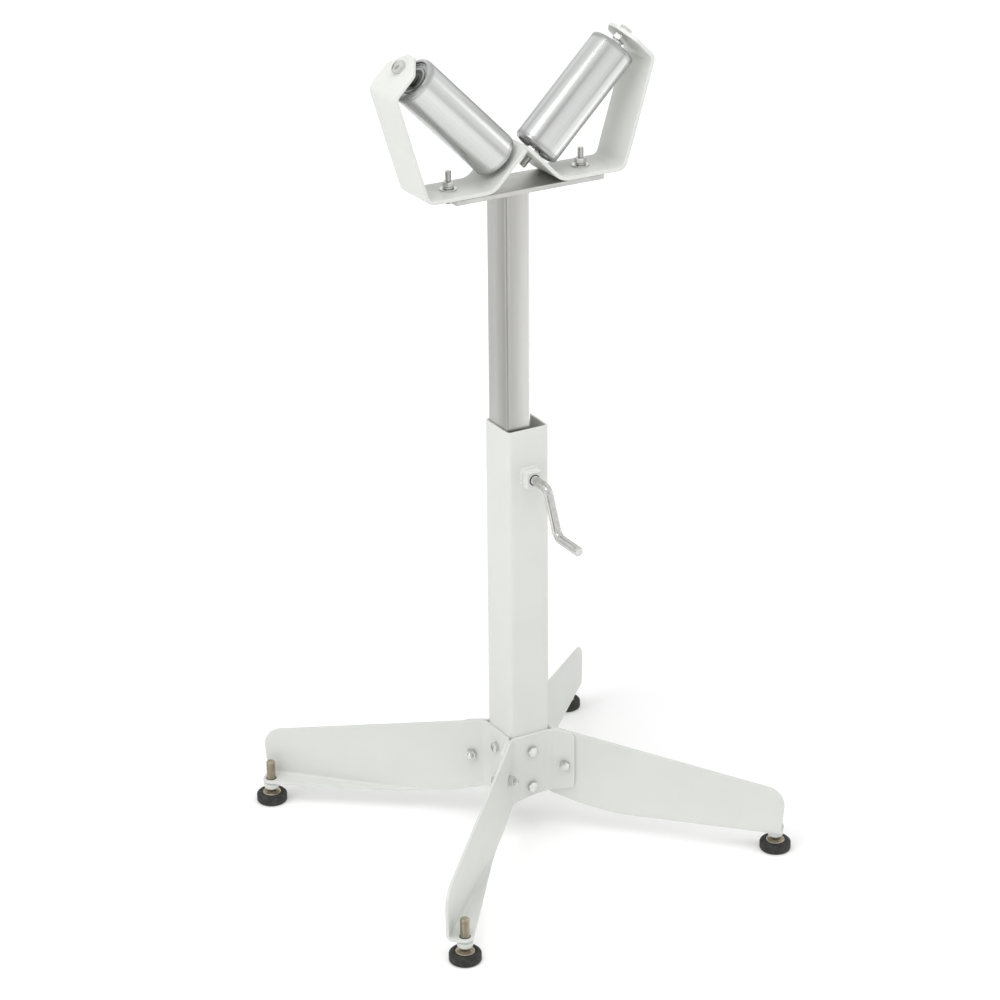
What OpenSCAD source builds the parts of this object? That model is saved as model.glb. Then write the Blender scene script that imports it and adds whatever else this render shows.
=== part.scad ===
// Pipe roller support: a floor stand that carries a pipe in a V of two rollers on a sliding mast.
// +X runs along the head bar, +Y along the pipe, +Z up. The origin is on the floor under the column's axis.

/* [Column] */
// Outside width of the square column tube
column_w = 60; // [50:1:70]
// Wall of the column tube
column_wall = 3; // [2:0.5:4]
// Outside corner radius of the column tube
column_r = 6; // [4:0.5:8]
// Length of the column tube
column_len = 520; // [460:5:600]

/* [Legs] */
// Sheet thickness of the legs
leg_t = 4; // [3:0.5:5]
// Inside radius of the legs' upright bends
leg_bend_r = 8; // [5:1:10]
// Height of the plate that lies on a column face
plate_h = 90; // [80:1:110]
// Height of the plate's lower edge above the underside of the lip
plate_rise = 30; // [20:1:36]
// Reach of a blade from the column's axis, along the diagonal
leg_reach = 358; // [300:2:420]
// Height of the blade at its foot end, above the underside of the lip
blade_end_h = 66; // [56:1:76]
// Radius of the blade's upper outer corner
blade_corner_r = 20; // [10:1:26]
// Width of the lip at its foot end
lip_w = 33.8; // [28:0.2:42]
// Distance from the column's axis at which the lip starts
lip_start = 130; // [110:1:150]
// Inside radius of the fold between blade and lip
lip_bend_r = 4; // [2:0.5:6]
// Radius of the lip's outer corner
lip_corner_r = 11; // [8:0.5:18]
// Length of the tab past the column's corner
tab_len = 34; // [30:1:44]
// Radius of the tab's corners
tab_r = 7; // [3:1:12]
// Rise of the tab's lower edge from its bend to its end
tab_rise = 8; // [2:1:15]
// Drop of the tab's upper edge from its bend to its end
tab_drop = 4; // [1:1:12]

/* [Levelling feet] */
// Diameter of a foot pad
pad_d = 41; // [36:1:60]
// Height of a foot pad
pad_h = 14; // [10:1:18]
// Height of the chamfers on the pad's rims
pad_edge = 2; // [1:0.5:3]
// Depth of the seat for the stud's flange in the pad
pad_recess = 2; // [1:0.5:3]
// Rubber under the stud's lower end
pad_floor = 4; // [3:0.5:6]
// Diameter of the threaded stud
stud_d = 12; // [10:1:14]
// Chamfer on the stud's upper end
stud_chamfer = 1.2; // [0.5:0.1:2]
// Length of the stud that stands out above the lip
stud_show = 26; // [12:1:32]
// Diameter of the stud's flange
flange_d = 25; // [22:1:28]
// Thickness of the stud's flange
flange_t = 2.5; // [2:0.5:4]
// Width across flats of the stud's hex collar
collar_af = 18; // [16:1:21]
// Height of the stud's hex collar
collar_h = 3; // [2:0.5:8]
// Distance from the hex collar to the boss above it
collar_gap = 2; // [1:0.5:4]
// Diameter of the threaded boss under the lip
boss_d = 20; // [18:1:26]
// Height of the threaded boss
boss_h = 11; // [8:1:22]
// Distance of the lip's end behind the blade's outer corner
lip_end_in = 5; // [2:0.5:12]

/* [Mast] */
// Width of the mast tube across the head bar's length
mast_w = 35; // [30:1:40]
// Depth of the mast tube along the pipe
mast_d = 50; // [40:1:52]
// Wall of the mast tube
mast_wall = 3; // [2:0.5:4]
// Outside corner radius of the mast tube
mast_r = 5; // [4:0.5:7]
// Length of the mast tube
mast_len = 440; // [400:5:500]
// Length of the mast that shows between column and head bar
mast_show = 310; // [280:5:330]
// Height of the guide plug below the mast tube
guide_h = 25; // [15:1:30]
// Depth of the guide plug's spigot inside the mast tube
spigot_h = 20; // [10:1:30]

/* [Clamp] */
// Width and height of the welded clamp block
clamp_block_w = 22; // [18:1:28]
// Depth of the welded clamp block
clamp_block_t = 14; // [10:1:18]
// Distance of the clamp screw's axis below the column's rim
clamp_drop = 64; // [50:1:80]
// Diameter of the clamp screw and its crank
crank_d = 12; // [10:1:14]
// Chamfer on the clamp screw's tip
crank_chamfer = 1.5; // [0.5:0.5:2.5]
// Length of the straight rod from the block to the first bend's corner
crank_out = 32; // [28:1:45]
// Drop of the crank's arm
crank_drop = 57; // [45:1:80]
// Angle through which the rod bends at each end of the arm
crank_bend = 66; // [50:1:85]
// Length of the crank's handle past its bend's corner
crank_handle = 51; // [40:1:70]
// Radius of the crank's bends, at the rod's centre line
crank_r = 14; // [12:1:16]
// Swelling of the rod's radius in its bends
bend_swell = 0.1; // [0.1:0.05:0.3]

/* [Head] */
// Length of the head bar
bar_len = 208; // [200:1:230]
// Distance of the head bar's middle from the middle between its bolts
bar_shift = 4; // [0:0.5:4]
// Thickness of the head bar
bar_t = 6; // [5:0.5:8]
// Width of the head bar and of the bracket strips
strip_w = 65; // [60:1:80]
// Thickness of the bracket strips
strip_t = 5; // [4:0.5:6]
// Distance between the two bracket bolts
bracket_bolt_pitch = 186; // [180:1:190]
// Half the distance between the outer corners of the two brackets' flats
bracket_half = 139; // [132:1:146]
// Outward lean of the brackets' outer legs
bracket_lean = 17; // [12:0.5:22]
// Inside radius of the bends beside the apex
apex_bend_r = 22; // [14:1:26]
// Inside radius of the lower outer bends
lower_bend_r = 9; // [6:1:12]
// Inside radius of the upper bends
upper_bend_r = 7; // [5:1:10]
// Height of the crossing of the roller axes above the head bar
cross_rise = 9; // [6:0.5:14]
// Distance that the outer flange stands out past the axle
flange_beyond = 20; // [18:1:26]
// Width of the outer flange's flat tip
flange_tip_w = 16; // [10:1:30]
// Length over which the outer flange narrows to its tip
tongue_len = 20; // [14:1:24]

/* [Rollers] */
// Diameter of a roller
roller_d = 60; // [50:1:66]
// Length of a roller
roller_len = 160; // [130:2:180]
// Wall of a roller's shell
roller_wall = 3; // [1.5:0.5:4]
// Radius of the shell's rounded edge
roller_edge_r = 2.5; // [1:0.5:4]
// Distance from the crossing of the axes to a roller's inner end
roller_in = 39; // [38:1:46]
// Gap between the inner flange and the roller
inner_gap = 7; // [6:0.1:13]
// Gap between the roller and the outer flange
outer_gap = 15; // [12:0.5:20]
// Depth of the bearing's face inside the roller's end
bearing_inset = 4; // [3:0.5:8]
// Outside diameter of a bearing
bearing_d = 30; // [26:1:35]
// Width of a bearing
bearing_w = 9; // [7:1:12]
// Sheet thickness of the end cups
cup_t = 2; // [1.5:0.5:3]
// Depth of the end cup's rim inside the roller's end
cup_inset = 2; // [1:0.5:3]
// Thickness of the bearings' rings
ring_t = 2.5; // [2:0.5:3]
// Depth of the bearings' seals below their rings
seal_inset = 0.6; // [0.3:0.1:1]
// Wall of the spacer sleeves
sleeve_wall = 2; // [1.5:0.5:3]

/* [Fasteners] */
// Thread diameter of the axle bolts
axle_d = 10; // [8:1:12]
// Width across flats of the axle bolts and nuts
axle_af = 16; // [15:1:19]
// Length of the axle that stands out past the inner flange
axle_stub = 14; // [4:1:15]
// Height of the axle bolts' heads
axle_head_h = 6.4; // [5:0.1:8]
// Height of the axle nuts
axle_nut_h = 8; // [6:0.5:9]
// Thread diameter of the frame's bolts
bolt_d = 8; // [6:1:8]
// Width across flats of the frame's bolts and nuts
bolt_af = 13; // [11:1:14]
// Height of the frame bolts' heads
bolt_head_h = 5.3; // [4:0.1:7]
// Height of the frame's nuts
nut_h = 6.8; // [5:0.1:8]
// Thread that stands out past a joint nut
thread_out = 5; // [2:0.5:8]
// Thread that stands out past a column nut
column_thread_out = 2.5; // [1:0.5:4]
// Diameter of the large washers on the brackets
washer_d = 22; // [18:1:26]
// Thickness of the large washers
washer_t = 2; // [1.5:0.1:3]
// Diameter of the lock washers under the bracket nuts
lock_washer_d = 14.4; // [13:0.2:16]
// Thickness of the lock washers
lock_washer_t = 2.2; // [1.5:0.1:3]
// Length of the bracket bolts under the head
bracket_bolt_len = 35; // [30:1:40]
// Height of the lower column bolt above the plate's lower edge
column_bolt_low = 14; // [12:1:20]
// Distance between the two column bolts on a face
column_bolt_pitch = 52; // [40:1:60]
// Distance of a leg joint bolt from the column's corner, along the diagonal
joint_bolt_out = 21.5; // [18:0.5:24]
// Height of a leg joint bolt above the plate's lower edge
joint_bolt_up = 40; // [30:1:50]

/* [Fits] */
// Radial clearance of a bolt in its hole
hole_fit = 0.4; // [0.2:0.1:1]
// Radial clearance of a thread or a bearing that turns or slides
running_fit = 0.05; // [0.02:0.01:0.1]
// Gap between parts that slide past or press on each other
slide_gap = 0.3; // [0.2:0.1:0.6]

/* [Hidden] */
$fn = 64;
// Reach of a cut past the faces that it opens
past = 1;
// Flats that make up a bend or a rounded corner of the sheets
arc_steps = 8;

paint = "whitesmoke";
zinc = "silver";
bare_steel = "darkgray";
dark_zinc = "rosybrown";
rubber = "dimgray";
nylon = "black";

// Half the column, its opening and the tangent length of a 45 degree bend in the leg sheet
column_half = column_w / 2;
opening_half = column_half - column_wall;
leg_tangent = (leg_t + leg_bend_r) * tan(22.5);

// Heights from the floor up to the column's rim
lip_z = pad_h + collar_h + collar_gap + boss_h;
plate_z = lip_z + plate_rise;
plate_top = plate_z + plate_h;
rim_z = plate_z + column_len;
clamp_z = rim_z - clamp_drop;

// A leg in the frame of its own diagonal: distance from the axis, offset across it, height
corner_a = column_half * sqrt(2);
blade_a = corner_a + leg_tangent;
tab_end_a = corner_a + tab_len;
joint_a = corner_a + joint_bolt_out;
lip_end_a = leg_reach - lip_end_in;
lip_slope = lip_w / (lip_end_a - lip_start);
foot_a = lip_end_a - lip_corner_r;
foot_w = lip_slope * (foot_a - lip_start) - lip_corner_r * norm([1, lip_slope]);
fold_z = lip_z + leg_t + lip_bend_r;
plate_half = column_half - leg_tangent;

// The stud's own heights
flange_z = pad_h - pad_recess;
collar_z = flange_z + flange_t;
collar_top = lip_z - boss_h - collar_gap;
stud_top = lip_z + leg_t + stud_show;

// Mast and head heights, and the mast's place against two walls of the column's opening
bar_z = rim_z + mast_show;
strip_z = bar_z + bar_t;
cross_z = strip_z + cross_rise;
mast_x = mast_w / 2 - opening_half + slide_gap;
mast_y = opening_half - slide_gap - mast_d / 2;
mast_foot_z = bar_z - mast_len;

// Places along a roller's axis, from the crossing of the axes
inner_face = roller_in - inner_gap;
inner_back = inner_face - strip_t;
roller_out = roller_in + roller_len;
outer_face = roller_out + outer_gap;
outer_back = outer_face + strip_t;
washer_bore = bolt_d + 2 * hole_fit;

// Corners of the right bracket's lower surface, in X and in height above the head bar
apex_x = slide_gap;
inner_corner_x = inner_back * sqrt(2) + cross_rise;
outer_line = outer_back * sqrt(2) + cross_rise;
outer_leg = (outer_line - bracket_half) / (sin(bracket_lean) + cos(bracket_lean));
upper_corner_x = bracket_half + outer_leg * sin(bracket_lean);
flange_to_axle = (upper_corner_x - outer_back / sqrt(2)) * sqrt(2);

// Shapes that repeat

// Upright bar with rounded corners, centred on the Z axis
module rounded_bar(w, d, h, r) {
    linear_extrude(h) {
        square([w - 2 * r, d], center = true);
        square([w, d - 2 * r], center = true);
        for (x = [-1, 1], y = [-1, 1])
            translate([x * (w / 2 - r), y * (d / 2 - r)]) circle(r);
    }
}

// Square or rectangular tube, centred on the Z axis
module rounded_tube(w, d, h, r, wall) {
    difference() {
        rounded_bar(w, d, h, r);
        translate([0, 0, -past]) rounded_bar(w - 2 * wall, d - 2 * wall, h + 2 * past, r - wall);
    }
}

// Hex prism given by its width across flats
module hex(af, h) {
    cylinder(h = h, d = af / cos(30), $fn = 6);
}

// Hex bolt: head below Z = 0, shank up to len
module hex_bolt(d, af, head_h, len) {
    translate([0, 0, -head_h]) hex(af, head_h);
    cylinder(h = len, d = d);
}

// Hex nut standing on Z = 0
module hex_nut(d, af, h) {
    difference() {
        hex(af, h);
        translate([0, 0, -past]) cylinder(h = h + 2 * past, d = d);
    }
}

// Washer for a frame bolt, lying on Z = 0
module washer(d, t) {
    difference() {
        cylinder(h = t, d = d);
        translate([0, 0, -past]) cylinder(h = t + 2 * past, d = washer_bore);
    }
}

// One side of a bent sheet's section. Each step is [length, angle, inside radius]: a run, then a bend to the
// left. The side lies off from the sheet's right face, and at is the start of the right face.
function bent_side(steps, t, off, at, heading, i = 0) =
    let (
        run = steps[i][0],
        angle = steps[i][1],
        r = steps[i][2],
        left = [-sin(heading), cos(heading)],
        end = at + run * [cos(heading), sin(heading)],
        centre = end + (r + t) * left,
        start = i == 0 ? [at + off * left] : []
    )
    i + 1 == len(steps)
        ? concat(start, [end + off * left])
        : concat(
            start,
            [for (k = [0:arc_steps])
                let (a = heading + angle * k / arc_steps) centre + (r + t - off) * [sin(a), -cos(a)]],
            bent_side(steps, t, off, centre + (r + t) * [sin(heading + angle), -cos(heading + angle)],
                heading + angle, i + 1)
        );

// Section of a bent sheet, from its right face round to its left one
function bent_section(steps, t, at, heading) =
    let (left_side = bent_side(steps, t, t, at, heading))
    concat(
        bent_side(steps, t, 0, at, heading),
        [for (i = [len(left_side) - 1:-1:0]) left_side[i]]
    );

// Arc of radius r that rounds the corner q between the edges from q to before and to after
function rounded_corner(before, q, after, r) =
    let (
        u = (before - q) / norm(before - q),
        v = (after - q) / norm(after - q),
        half = acos(u * v) / 2,
        centre = q + (u + v) / norm(u + v) * r / sin(half),
        from = q + u * r / tan(half) - centre,
        to = q + v * r / tan(half) - centre,
        turn = 180 - 2 * half
    )
    [for (k = [0:arc_steps])
        let (f = k / arc_steps) centre + (from * sin((1 - f) * turn) + to * sin(f * turn)) / sin(turn)];

// What a rounded corner takes off a sheet, reaching past its edges
module corner_cut(before, q, after, r) {
    arc = rounded_corner(before, q, after, r);
    inward = (before - q) / norm(before - q) + (after - q) / norm(after - q);
    out = -past * inward / norm(inward);
    polygon(concat(arc, [arc[arc_steps] + out, q + out, arc[0] + out]));
}

// Round rod bent in the XZ plane, a little thicker in its bends, where the runs reach into them.
// Each step is [length, angle]: a straight run, then a bend downwards.
module bent_rod(steps, d, r, i = 0) {
    run = steps[i][0];
    angle = steps[i][1];
    side = sign(angle);
    last = i + 1 == len(steps);
    reach = sqrt(bend_swell * r);
    before = i > 0 ? reach : 0;
    after = last ? 0 : reach;
    translate([-before, 0, 0]) rotate([0, 90, 0]) cylinder(h = before + run + after, d = d);
    if (!last)
        translate([run, 0, -side * r]) {
            rotate([90, 0, 0]) rotate([0, 0, side > 0 ? 90 - angle : -90]) rotate_extrude(angle = abs(angle))
                translate([r, 0]) circle(d = d + 2 * bend_swell);
            rotate([0, angle, 0]) translate([0, 0, side * r]) bent_rod(steps, d, r, i + 1);
        }
}

// Places that repeat

// Frame of leg k's blade: X out along its diagonal, Y towards its lip
module blade_frame(k) {
    rotate([0, 0, 225 + 90 * k]) children();
}

// Axis of leg k's levelling foot
module at_foot(k) {
    blade_frame(k) translate([foot_a, foot_w, 0]) children();
}

// Column bolt axes: Z points into the column, from the column's face
module at_column_bolts() {
    for (k = [0:3], up = [column_bolt_low, column_bolt_low + column_bolt_pitch])
        rotate([0, 0, 90 * k]) translate([0, -column_half, plate_z + up]) rotate([-90, 0, 0]) children();
}

// Leg joint axes: Z points from the tab to the blade, from the plane where they meet
module at_leg_joint(k) {
    blade_frame(k) translate([joint_a, 0, plate_z + joint_bolt_up]) rotate([-90, 0, 0]) children();
}

// Bracket bolt axes, from the underside of the head bar
module at_bracket_bolts() {
    for (side = [-1, 1])
        translate([side * bracket_bolt_pitch / 2, 0, bar_z]) children();
}

// Axis of a roller: Z runs up along it from the crossing of the axes
module on_axis(side) {
    translate([0, 0, cross_z]) rotate([0, 45 * side, 0]) children();
}

// Column and clamp

module column_tube() {
    color(paint) difference() {
        translate([0, 0, plate_z]) rounded_tube(column_w, column_w, column_len, column_r, column_wall);
        at_column_bolts() translate([0, 0, -past])
            cylinder(h = column_wall + 2 * past, d = bolt_d + 2 * hole_fit);
        translate([0, past - opening_half, clamp_z]) rotate([90, 0, 0])
            cylinder(h = column_wall + 2 * past, d = crank_d + 2 * hole_fit);
    }
}

module clamp_block() {
    color(paint) translate([0, -column_half, clamp_z]) rotate([90, 0, 0]) difference() {
        translate([-clamp_block_w / 2, -clamp_block_w / 2, 0])
            cube([clamp_block_w, clamp_block_w, clamp_block_t]);
        translate([0, 0, -past]) cylinder(h = clamp_block_t + 2 * past, d = crank_d + 2 * running_fit);
    }
}

// Screw that presses on the mast, bent into a crank
module clamp_screw() {
    tip_y = mast_y - mast_d / 2 - slide_gap;
    tangent = crank_r * tan(crank_bend / 2);
    arm = crank_drop / sin(crank_bend);
    straight = tip_y - crank_chamfer + column_half + clamp_block_t + crank_out - tangent;
    color(zinc) translate([0, tip_y, clamp_z]) rotate([0, 0, -90]) {
        rotate([0, 90, 0]) cylinder(h = crank_chamfer, d1 = crank_d - 2 * crank_chamfer, d2 = crank_d);
        translate([crank_chamfer, 0, 0]) bent_rod([
            [straight, crank_bend],
            [arm - 2 * tangent, -crank_bend],
            [crank_handle - tangent, 0]
        ], crank_d, crank_r);
    }
}

// Legs and feet

// Plan of a leg's sheet in its blade's frame: tab, plate and blade with two bends between them
module leg_plan() {
    polygon(bent_section([
        [tab_end_a - blade_a, 45, leg_bend_r],
        [2 * plate_half, 45, leg_bend_r],
        [leg_reach - blade_a, 0, 0]
    ], leg_t, [0, tab_end_a], 270));
}

// Side view of what is cut from above the blade's sloping top and round its outer corner
module blade_top_cut() {
    end = [leg_reach, lip_z + blade_end_h];
    shoulder = [blade_a + leg_t, plate_top];
    slope = (plate_top - end[1]) / (leg_reach - shoulder[0]);
    foot = [lip_end_a, fold_z + leg_t];
    polygon(concat(
        [shoulder - past * [1, -slope]],
        rounded_corner(shoulder, end, foot, blade_corner_r),
        [
            foot,
            [lip_end_a, fold_z - past],
            [leg_reach + past, fold_z - past],
            [leg_reach + past, plate_top + past],
            [shoulder[0] - past, plate_top + past]
        ]
    ));
}

// Side view of what is cut from below the plate and below the S curve that runs down to the fold
module blade_foot_cut() {
    curve_end = lip_start - leg_t;
    polygon(concat(
        [[-past, fold_z - past], [-past, plate_z]],
        [for (k = [0:2 * arc_steps])
            let (f = k / (2 * arc_steps))
            [leg_t + f * (curve_end - leg_t), plate_z - (plate_z - fold_z) * (3 - 2 * f) * f * f]],
        [[curve_end, fold_z - past]]
    ));
}

// Plan of what is cut from the lip, which widens from nothing to its foot end
module lip_cut() {
    polygon(concat(
        [[lip_start, 0] - 2 * past * [1, lip_slope]],
        rounded_corner([lip_start, 0], [lip_end_a, lip_w], [lip_end_a, 0], lip_corner_r),
        [
            [lip_end_a, -past],
            [lip_end_a + 2 * past, -past],
            [lip_end_a + 2 * past, lip_w + 2 * past],
            [lip_start - 2 * past, lip_w + 2 * past]
        ]
    ));
}

// Fold and lip along the blade's lower edge, reaching up into the blade
module blade_lip() {
    difference() {
        translate([lip_start - past, 0, 0]) rotate([90, 0, 90]) linear_extrude(lip_end_a - lip_start + 2 * past)
            polygon(bent_section([
                [past, 90, lip_bend_r],
                [lip_w - leg_t - lip_bend_r, 0, 0]
            ], leg_t, [0, fold_z + past], -90));
        translate([0, 0, lip_z - past]) linear_extrude(fold_z - lip_z + 3 * past) lip_cut();
    }
}

// One bent sheet: tab, plate, blade and lip, in its blade's frame
module leg_sheet() {
    tab_end = tab_end_a + past;
    tab_low = [tab_end_a, plate_z + tab_rise];
    tab_high = [tab_end_a, plate_top - tab_drop];
    bend_low = [blade_a, plate_z];
    bend_high = [blade_a, plate_top];
    beyond = past / (tab_end_a - blade_a);
    difference() {
        translate([0, 0, fold_z]) linear_extrude(plate_top - fold_z) leg_plan();
        translate([0, leg_t + past, 0]) rotate([90, 0, 0]) linear_extrude(leg_t + 2 * past) blade_top_cut();
        translate([0, tab_end, 0]) rotate([90, 0, 0]) linear_extrude(tab_end + past) blade_foot_cut();
        translate([-past, 0, 0]) rotate([90, 0, 90]) linear_extrude(leg_t + 2 * past) {
            polygon([bend_low, bend_low - [0, past], [tab_end, plate_z - past],
                tab_low + beyond * (tab_low - bend_low)]);
            polygon([bend_high, bend_high + [0, past], [tab_end, plate_top + past],
                tab_high + beyond * (tab_high - bend_high)]);
            corner_cut(bend_high, tab_high, tab_low, tab_r);
            corner_cut(tab_high, tab_low, bend_low, tab_r);
        }
    }
    blade_lip();
}

// Leg k: the sheet with its bolt holes and the hole for its foot
module leg(k) {
    color(paint) difference() {
        blade_frame(k) leg_sheet();
        rotate([0, 0, 90 * k]) for (up = [column_bolt_low, column_bolt_low + column_bolt_pitch])
            translate([0, past - column_half, plate_z + up]) rotate([90, 0, 0])
                cylinder(h = leg_t + 2 * past, d = bolt_d + 2 * hole_fit);
        for (j = [k, k + 1])
            at_leg_joint(j) translate([0, 0, -leg_t - past])
                cylinder(h = 2 * (leg_t + past), d = bolt_d + 2 * hole_fit);
        at_foot(k) translate([0, 0, lip_z - past])
            cylinder(h = leg_t + 2 * past, d = stud_d + 2 * running_fit);
    }
}

module foot_bosses() {
    color(paint) for (k = [0:3])
        at_foot(k) translate([0, 0, lip_z - boss_h]) difference() {
            cylinder(h = boss_h, d = boss_d);
            translate([0, 0, -past]) cylinder(h = boss_h + 2 * past, d = stud_d + 2 * running_fit);
        }
}

// Levelling stud: rod, flange in the pad's recess and hex collar
module foot_stud(k) {
    shank_top = stud_top - stud_chamfer;
    color(dark_zinc) at_foot(k) {
        translate([0, 0, pad_floor]) cylinder(h = shank_top - pad_floor, d = stud_d);
        translate([0, 0, shank_top])
            cylinder(h = stud_chamfer, d1 = stud_d, d2 = stud_d - 2 * stud_chamfer);
        translate([0, 0, flange_z]) cylinder(h = flange_t, d = flange_d);
        translate([0, 0, collar_z]) hex(collar_af, collar_top - collar_z);
    }
}

// Rubber pad: a disc with a drawn-in lower edge, a chamfered rim and a seat for the stud
module foot_pad(k) {
    r = pad_d / 2;
    edge = pad_edge;
    seat_r = flange_d / 2 + hole_fit;
    bore_r = stud_d / 2 + running_fit;
    color(rubber) at_foot(k) rotate_extrude()
        polygon([
            [0, 0], [r - edge, 0], [r, edge], [r, pad_h - edge], [r - edge, pad_h],
            [seat_r, pad_h], [seat_r, flange_z], [bore_r, flange_z], [bore_r, pad_floor], [0, pad_floor]
        ]);
}

module column_bolts() {
    color(zinc) at_column_bolts() translate([0, 0, -leg_t])
        hex_bolt(bolt_d, bolt_af, bolt_head_h, leg_t + column_wall + nut_h + column_thread_out);
}

module column_nuts() {
    color(zinc) at_column_bolts() translate([0, 0, column_wall]) hex_nut(bolt_d, bolt_af, nut_h);
}

module leg_joint_bolts() {
    color(zinc) for (k = [0:3])
        at_leg_joint(k) translate([0, 0, -leg_t])
            hex_bolt(bolt_d, bolt_af, bolt_head_h, 2 * leg_t + nut_h + thread_out);
}

module leg_joint_nuts() {
    color(zinc) for (k = [0:3])
        at_leg_joint(k) translate([0, 0, leg_t]) hex_nut(bolt_d, bolt_af, nut_h);
}

// Mast and head

module mast_tube() {
    color(bare_steel) translate([mast_x, mast_y, mast_foot_z])
        rounded_tube(mast_w, mast_d, mast_len, mast_r, mast_wall);
}

// Plug that guides the mast's lower end in the column
module mast_guide() {
    block_w = 2 * (opening_half - slide_gap);
    spigot_w = mast_w - 2 * (mast_wall + running_fit);
    spigot_d = mast_d - 2 * (mast_wall + running_fit);
    color(nylon) {
        translate([0, 0, mast_foot_z - guide_h]) rounded_bar(block_w, block_w, guide_h, column_r);
        translate([mast_x, mast_y, mast_foot_z])
            rounded_bar(spigot_w, spigot_d, spigot_h, mast_r - mast_wall);
    }
}

module head_bar() {
    color(bare_steel) difference() {
        translate([bar_shift - bar_len / 2, -strip_w / 2, bar_z]) cube([bar_len, strip_w, bar_t]);
        at_bracket_bolts() translate([0, 0, -past])
            cylinder(h = bar_t + 2 * past, d = bolt_d + 2 * hole_fit);
    }
}

// Strip bent round one roller: inner flange, flat, outer leg and outer flange, whose end narrows to a tongue
module bracket(side) {
    outer_angle = 90 - bracket_lean;
    upper_angle = 45 + bracket_lean;
    apex_tangent = (apex_bend_r + strip_t) * tan(45 / 2);
    lower_tangent = (lower_bend_r + strip_t) * tan(outer_angle / 2);
    upper_tangent = (upper_bend_r + strip_t) * tan(upper_angle / 2);
    flange_len = flange_to_axle + flange_beyond;
    tongue = [tongue_len, (flange_tip_w - strip_w) / 2];
    shoulder = [flange_len - tongue_len, strip_w / 2];
    reach = past / tongue_len;
    color(paint) mirror([side < 0 ? 1 : 0, 0, 0]) difference() {
        translate([0, strip_w / 2, 0]) rotate([90, 0, 0]) linear_extrude(strip_w)
            polygon(bent_section([
                [(inner_corner_x - apex_x) * sqrt(2) - apex_tangent, 45, apex_bend_r],
                [bracket_half - inner_corner_x - apex_tangent - lower_tangent, outer_angle, lower_bend_r],
                [outer_leg - lower_tangent - upper_tangent, upper_angle, upper_bend_r],
                [flange_len - upper_tangent, 0, 0]
            ], strip_t, [apex_x, strip_z + inner_corner_x - apex_x], -45));
        translate([upper_corner_x, 0, strip_z + outer_leg * cos(bracket_lean)]) rotate([0, -135, 0])
            for (edge = [0, 1])
                mirror([0, edge, 0]) translate([0, 0, -past]) linear_extrude(strip_t + 2 * past)
                    polygon([
                        shoulder - reach * tongue,
                        shoulder + (1 + reach) * tongue,
                        [flange_len + past, strip_w / 2 + past],
                        [shoulder[0] - past, strip_w / 2 + past]
                    ]);
        on_axis(1) for (s = [inner_back, outer_face])
            translate([0, 0, s - past]) cylinder(h = strip_t + 2 * past, d = axle_d + 2 * hole_fit);
        translate([bracket_bolt_pitch / 2, 0, strip_z - past])
            cylinder(h = strip_t + 2 * past, d = bolt_d + 2 * hole_fit);
    }
}

module bracket_bolts() {
    color(zinc) at_bracket_bolts() hex_bolt(bolt_d, bolt_af, bolt_head_h, bracket_bolt_len);
}

module bracket_washers() {
    color(zinc) at_bracket_bolts() translate([0, 0, bar_t + strip_t]) washer(washer_d, washer_t);
}

module bracket_lock_washers() {
    color(zinc) at_bracket_bolts() translate([0, 0, bar_t + strip_t + washer_t])
        washer(lock_washer_d, lock_washer_t);
}

module bracket_nuts() {
    color(zinc) at_bracket_bolts() translate([0, 0, bar_t + strip_t + washer_t + lock_washer_t])
        hex_nut(bolt_d, bolt_af, nut_h);
}

// Rollers and axles

// Long hex bolt from the outer flange through the roller and the inner flange
module axle(side) {
    color(zinc) on_axis(side) translate([0, 0, outer_back]) mirror([0, 0, 1])
        hex_bolt(axle_d, axle_af, axle_head_h, outer_back - inner_back + axle_stub);
}

// Lock nuts on the roller side of both flanges
module axle_nuts() {
    color(zinc) for (side = [-1, 1], s = [inner_face, outer_face - axle_nut_h])
        on_axis(side) translate([0, 0, s]) hex_nut(axle_d, axle_af, axle_nut_h);
}

// Sleeves between the lock nuts and the bearings
module axle_sleeves() {
    spans = [
        [inner_face + axle_nut_h, roller_in + bearing_inset - slide_gap],
        [roller_out - bearing_inset + slide_gap, outer_face - axle_nut_h]
    ];
    color(zinc) for (side = [-1, 1], span = spans)
        on_axis(side) translate([0, 0, span[0]]) difference() {
            cylinder(h = span[1] - span[0], d = axle_d + 2 * sleeve_wall);
            translate([0, 0, -past]) cylinder(h = span[1] - span[0] + 2 * past, d = axle_d);
        }
}

// Tube with edges rounded over at both ends
module roller_shell(side) {
    r = roller_d / 2;
    bore = r - roller_wall;
    edge_r = min(roller_edge_r, roller_wall - slide_gap);
    low = [r, roller_in];
    high = [r, roller_out];
    color(zinc) on_axis(side) rotate_extrude($fn = 128)
        polygon(concat(
            [[bore, roller_out], [bore, roller_in]],
            rounded_corner([0, roller_in], low, high, edge_r),
            rounded_corner(low, high, [0, roller_out], edge_r)
        ));
}

// Pressed end cups: a rim in the shell, a dished disc and a neck around the bearing
module roller_cups(side) {
    rim_r = roller_d / 2 - roller_wall;
    neck_r = bearing_d / 2;
    depth = bearing_inset + bearing_w;
    lip = bearing_inset - cup_t / 2;
    color(zinc) for (end = [0, 1])
        on_axis(side) translate([0, 0, end == 0 ? roller_in : roller_out]) mirror([0, 0, end])
            rotate_extrude() polygon([
                [rim_r, cup_inset], [rim_r, depth], [rim_r - cup_t, depth],
                [rim_r - cup_t, cup_inset + cup_t],
                [neck_r + cup_t, bearing_inset + cup_t], [neck_r + cup_t, depth], [neck_r, depth],
                [neck_r, lip], [neck_r + cup_t, lip]
            ]);
}

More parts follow.
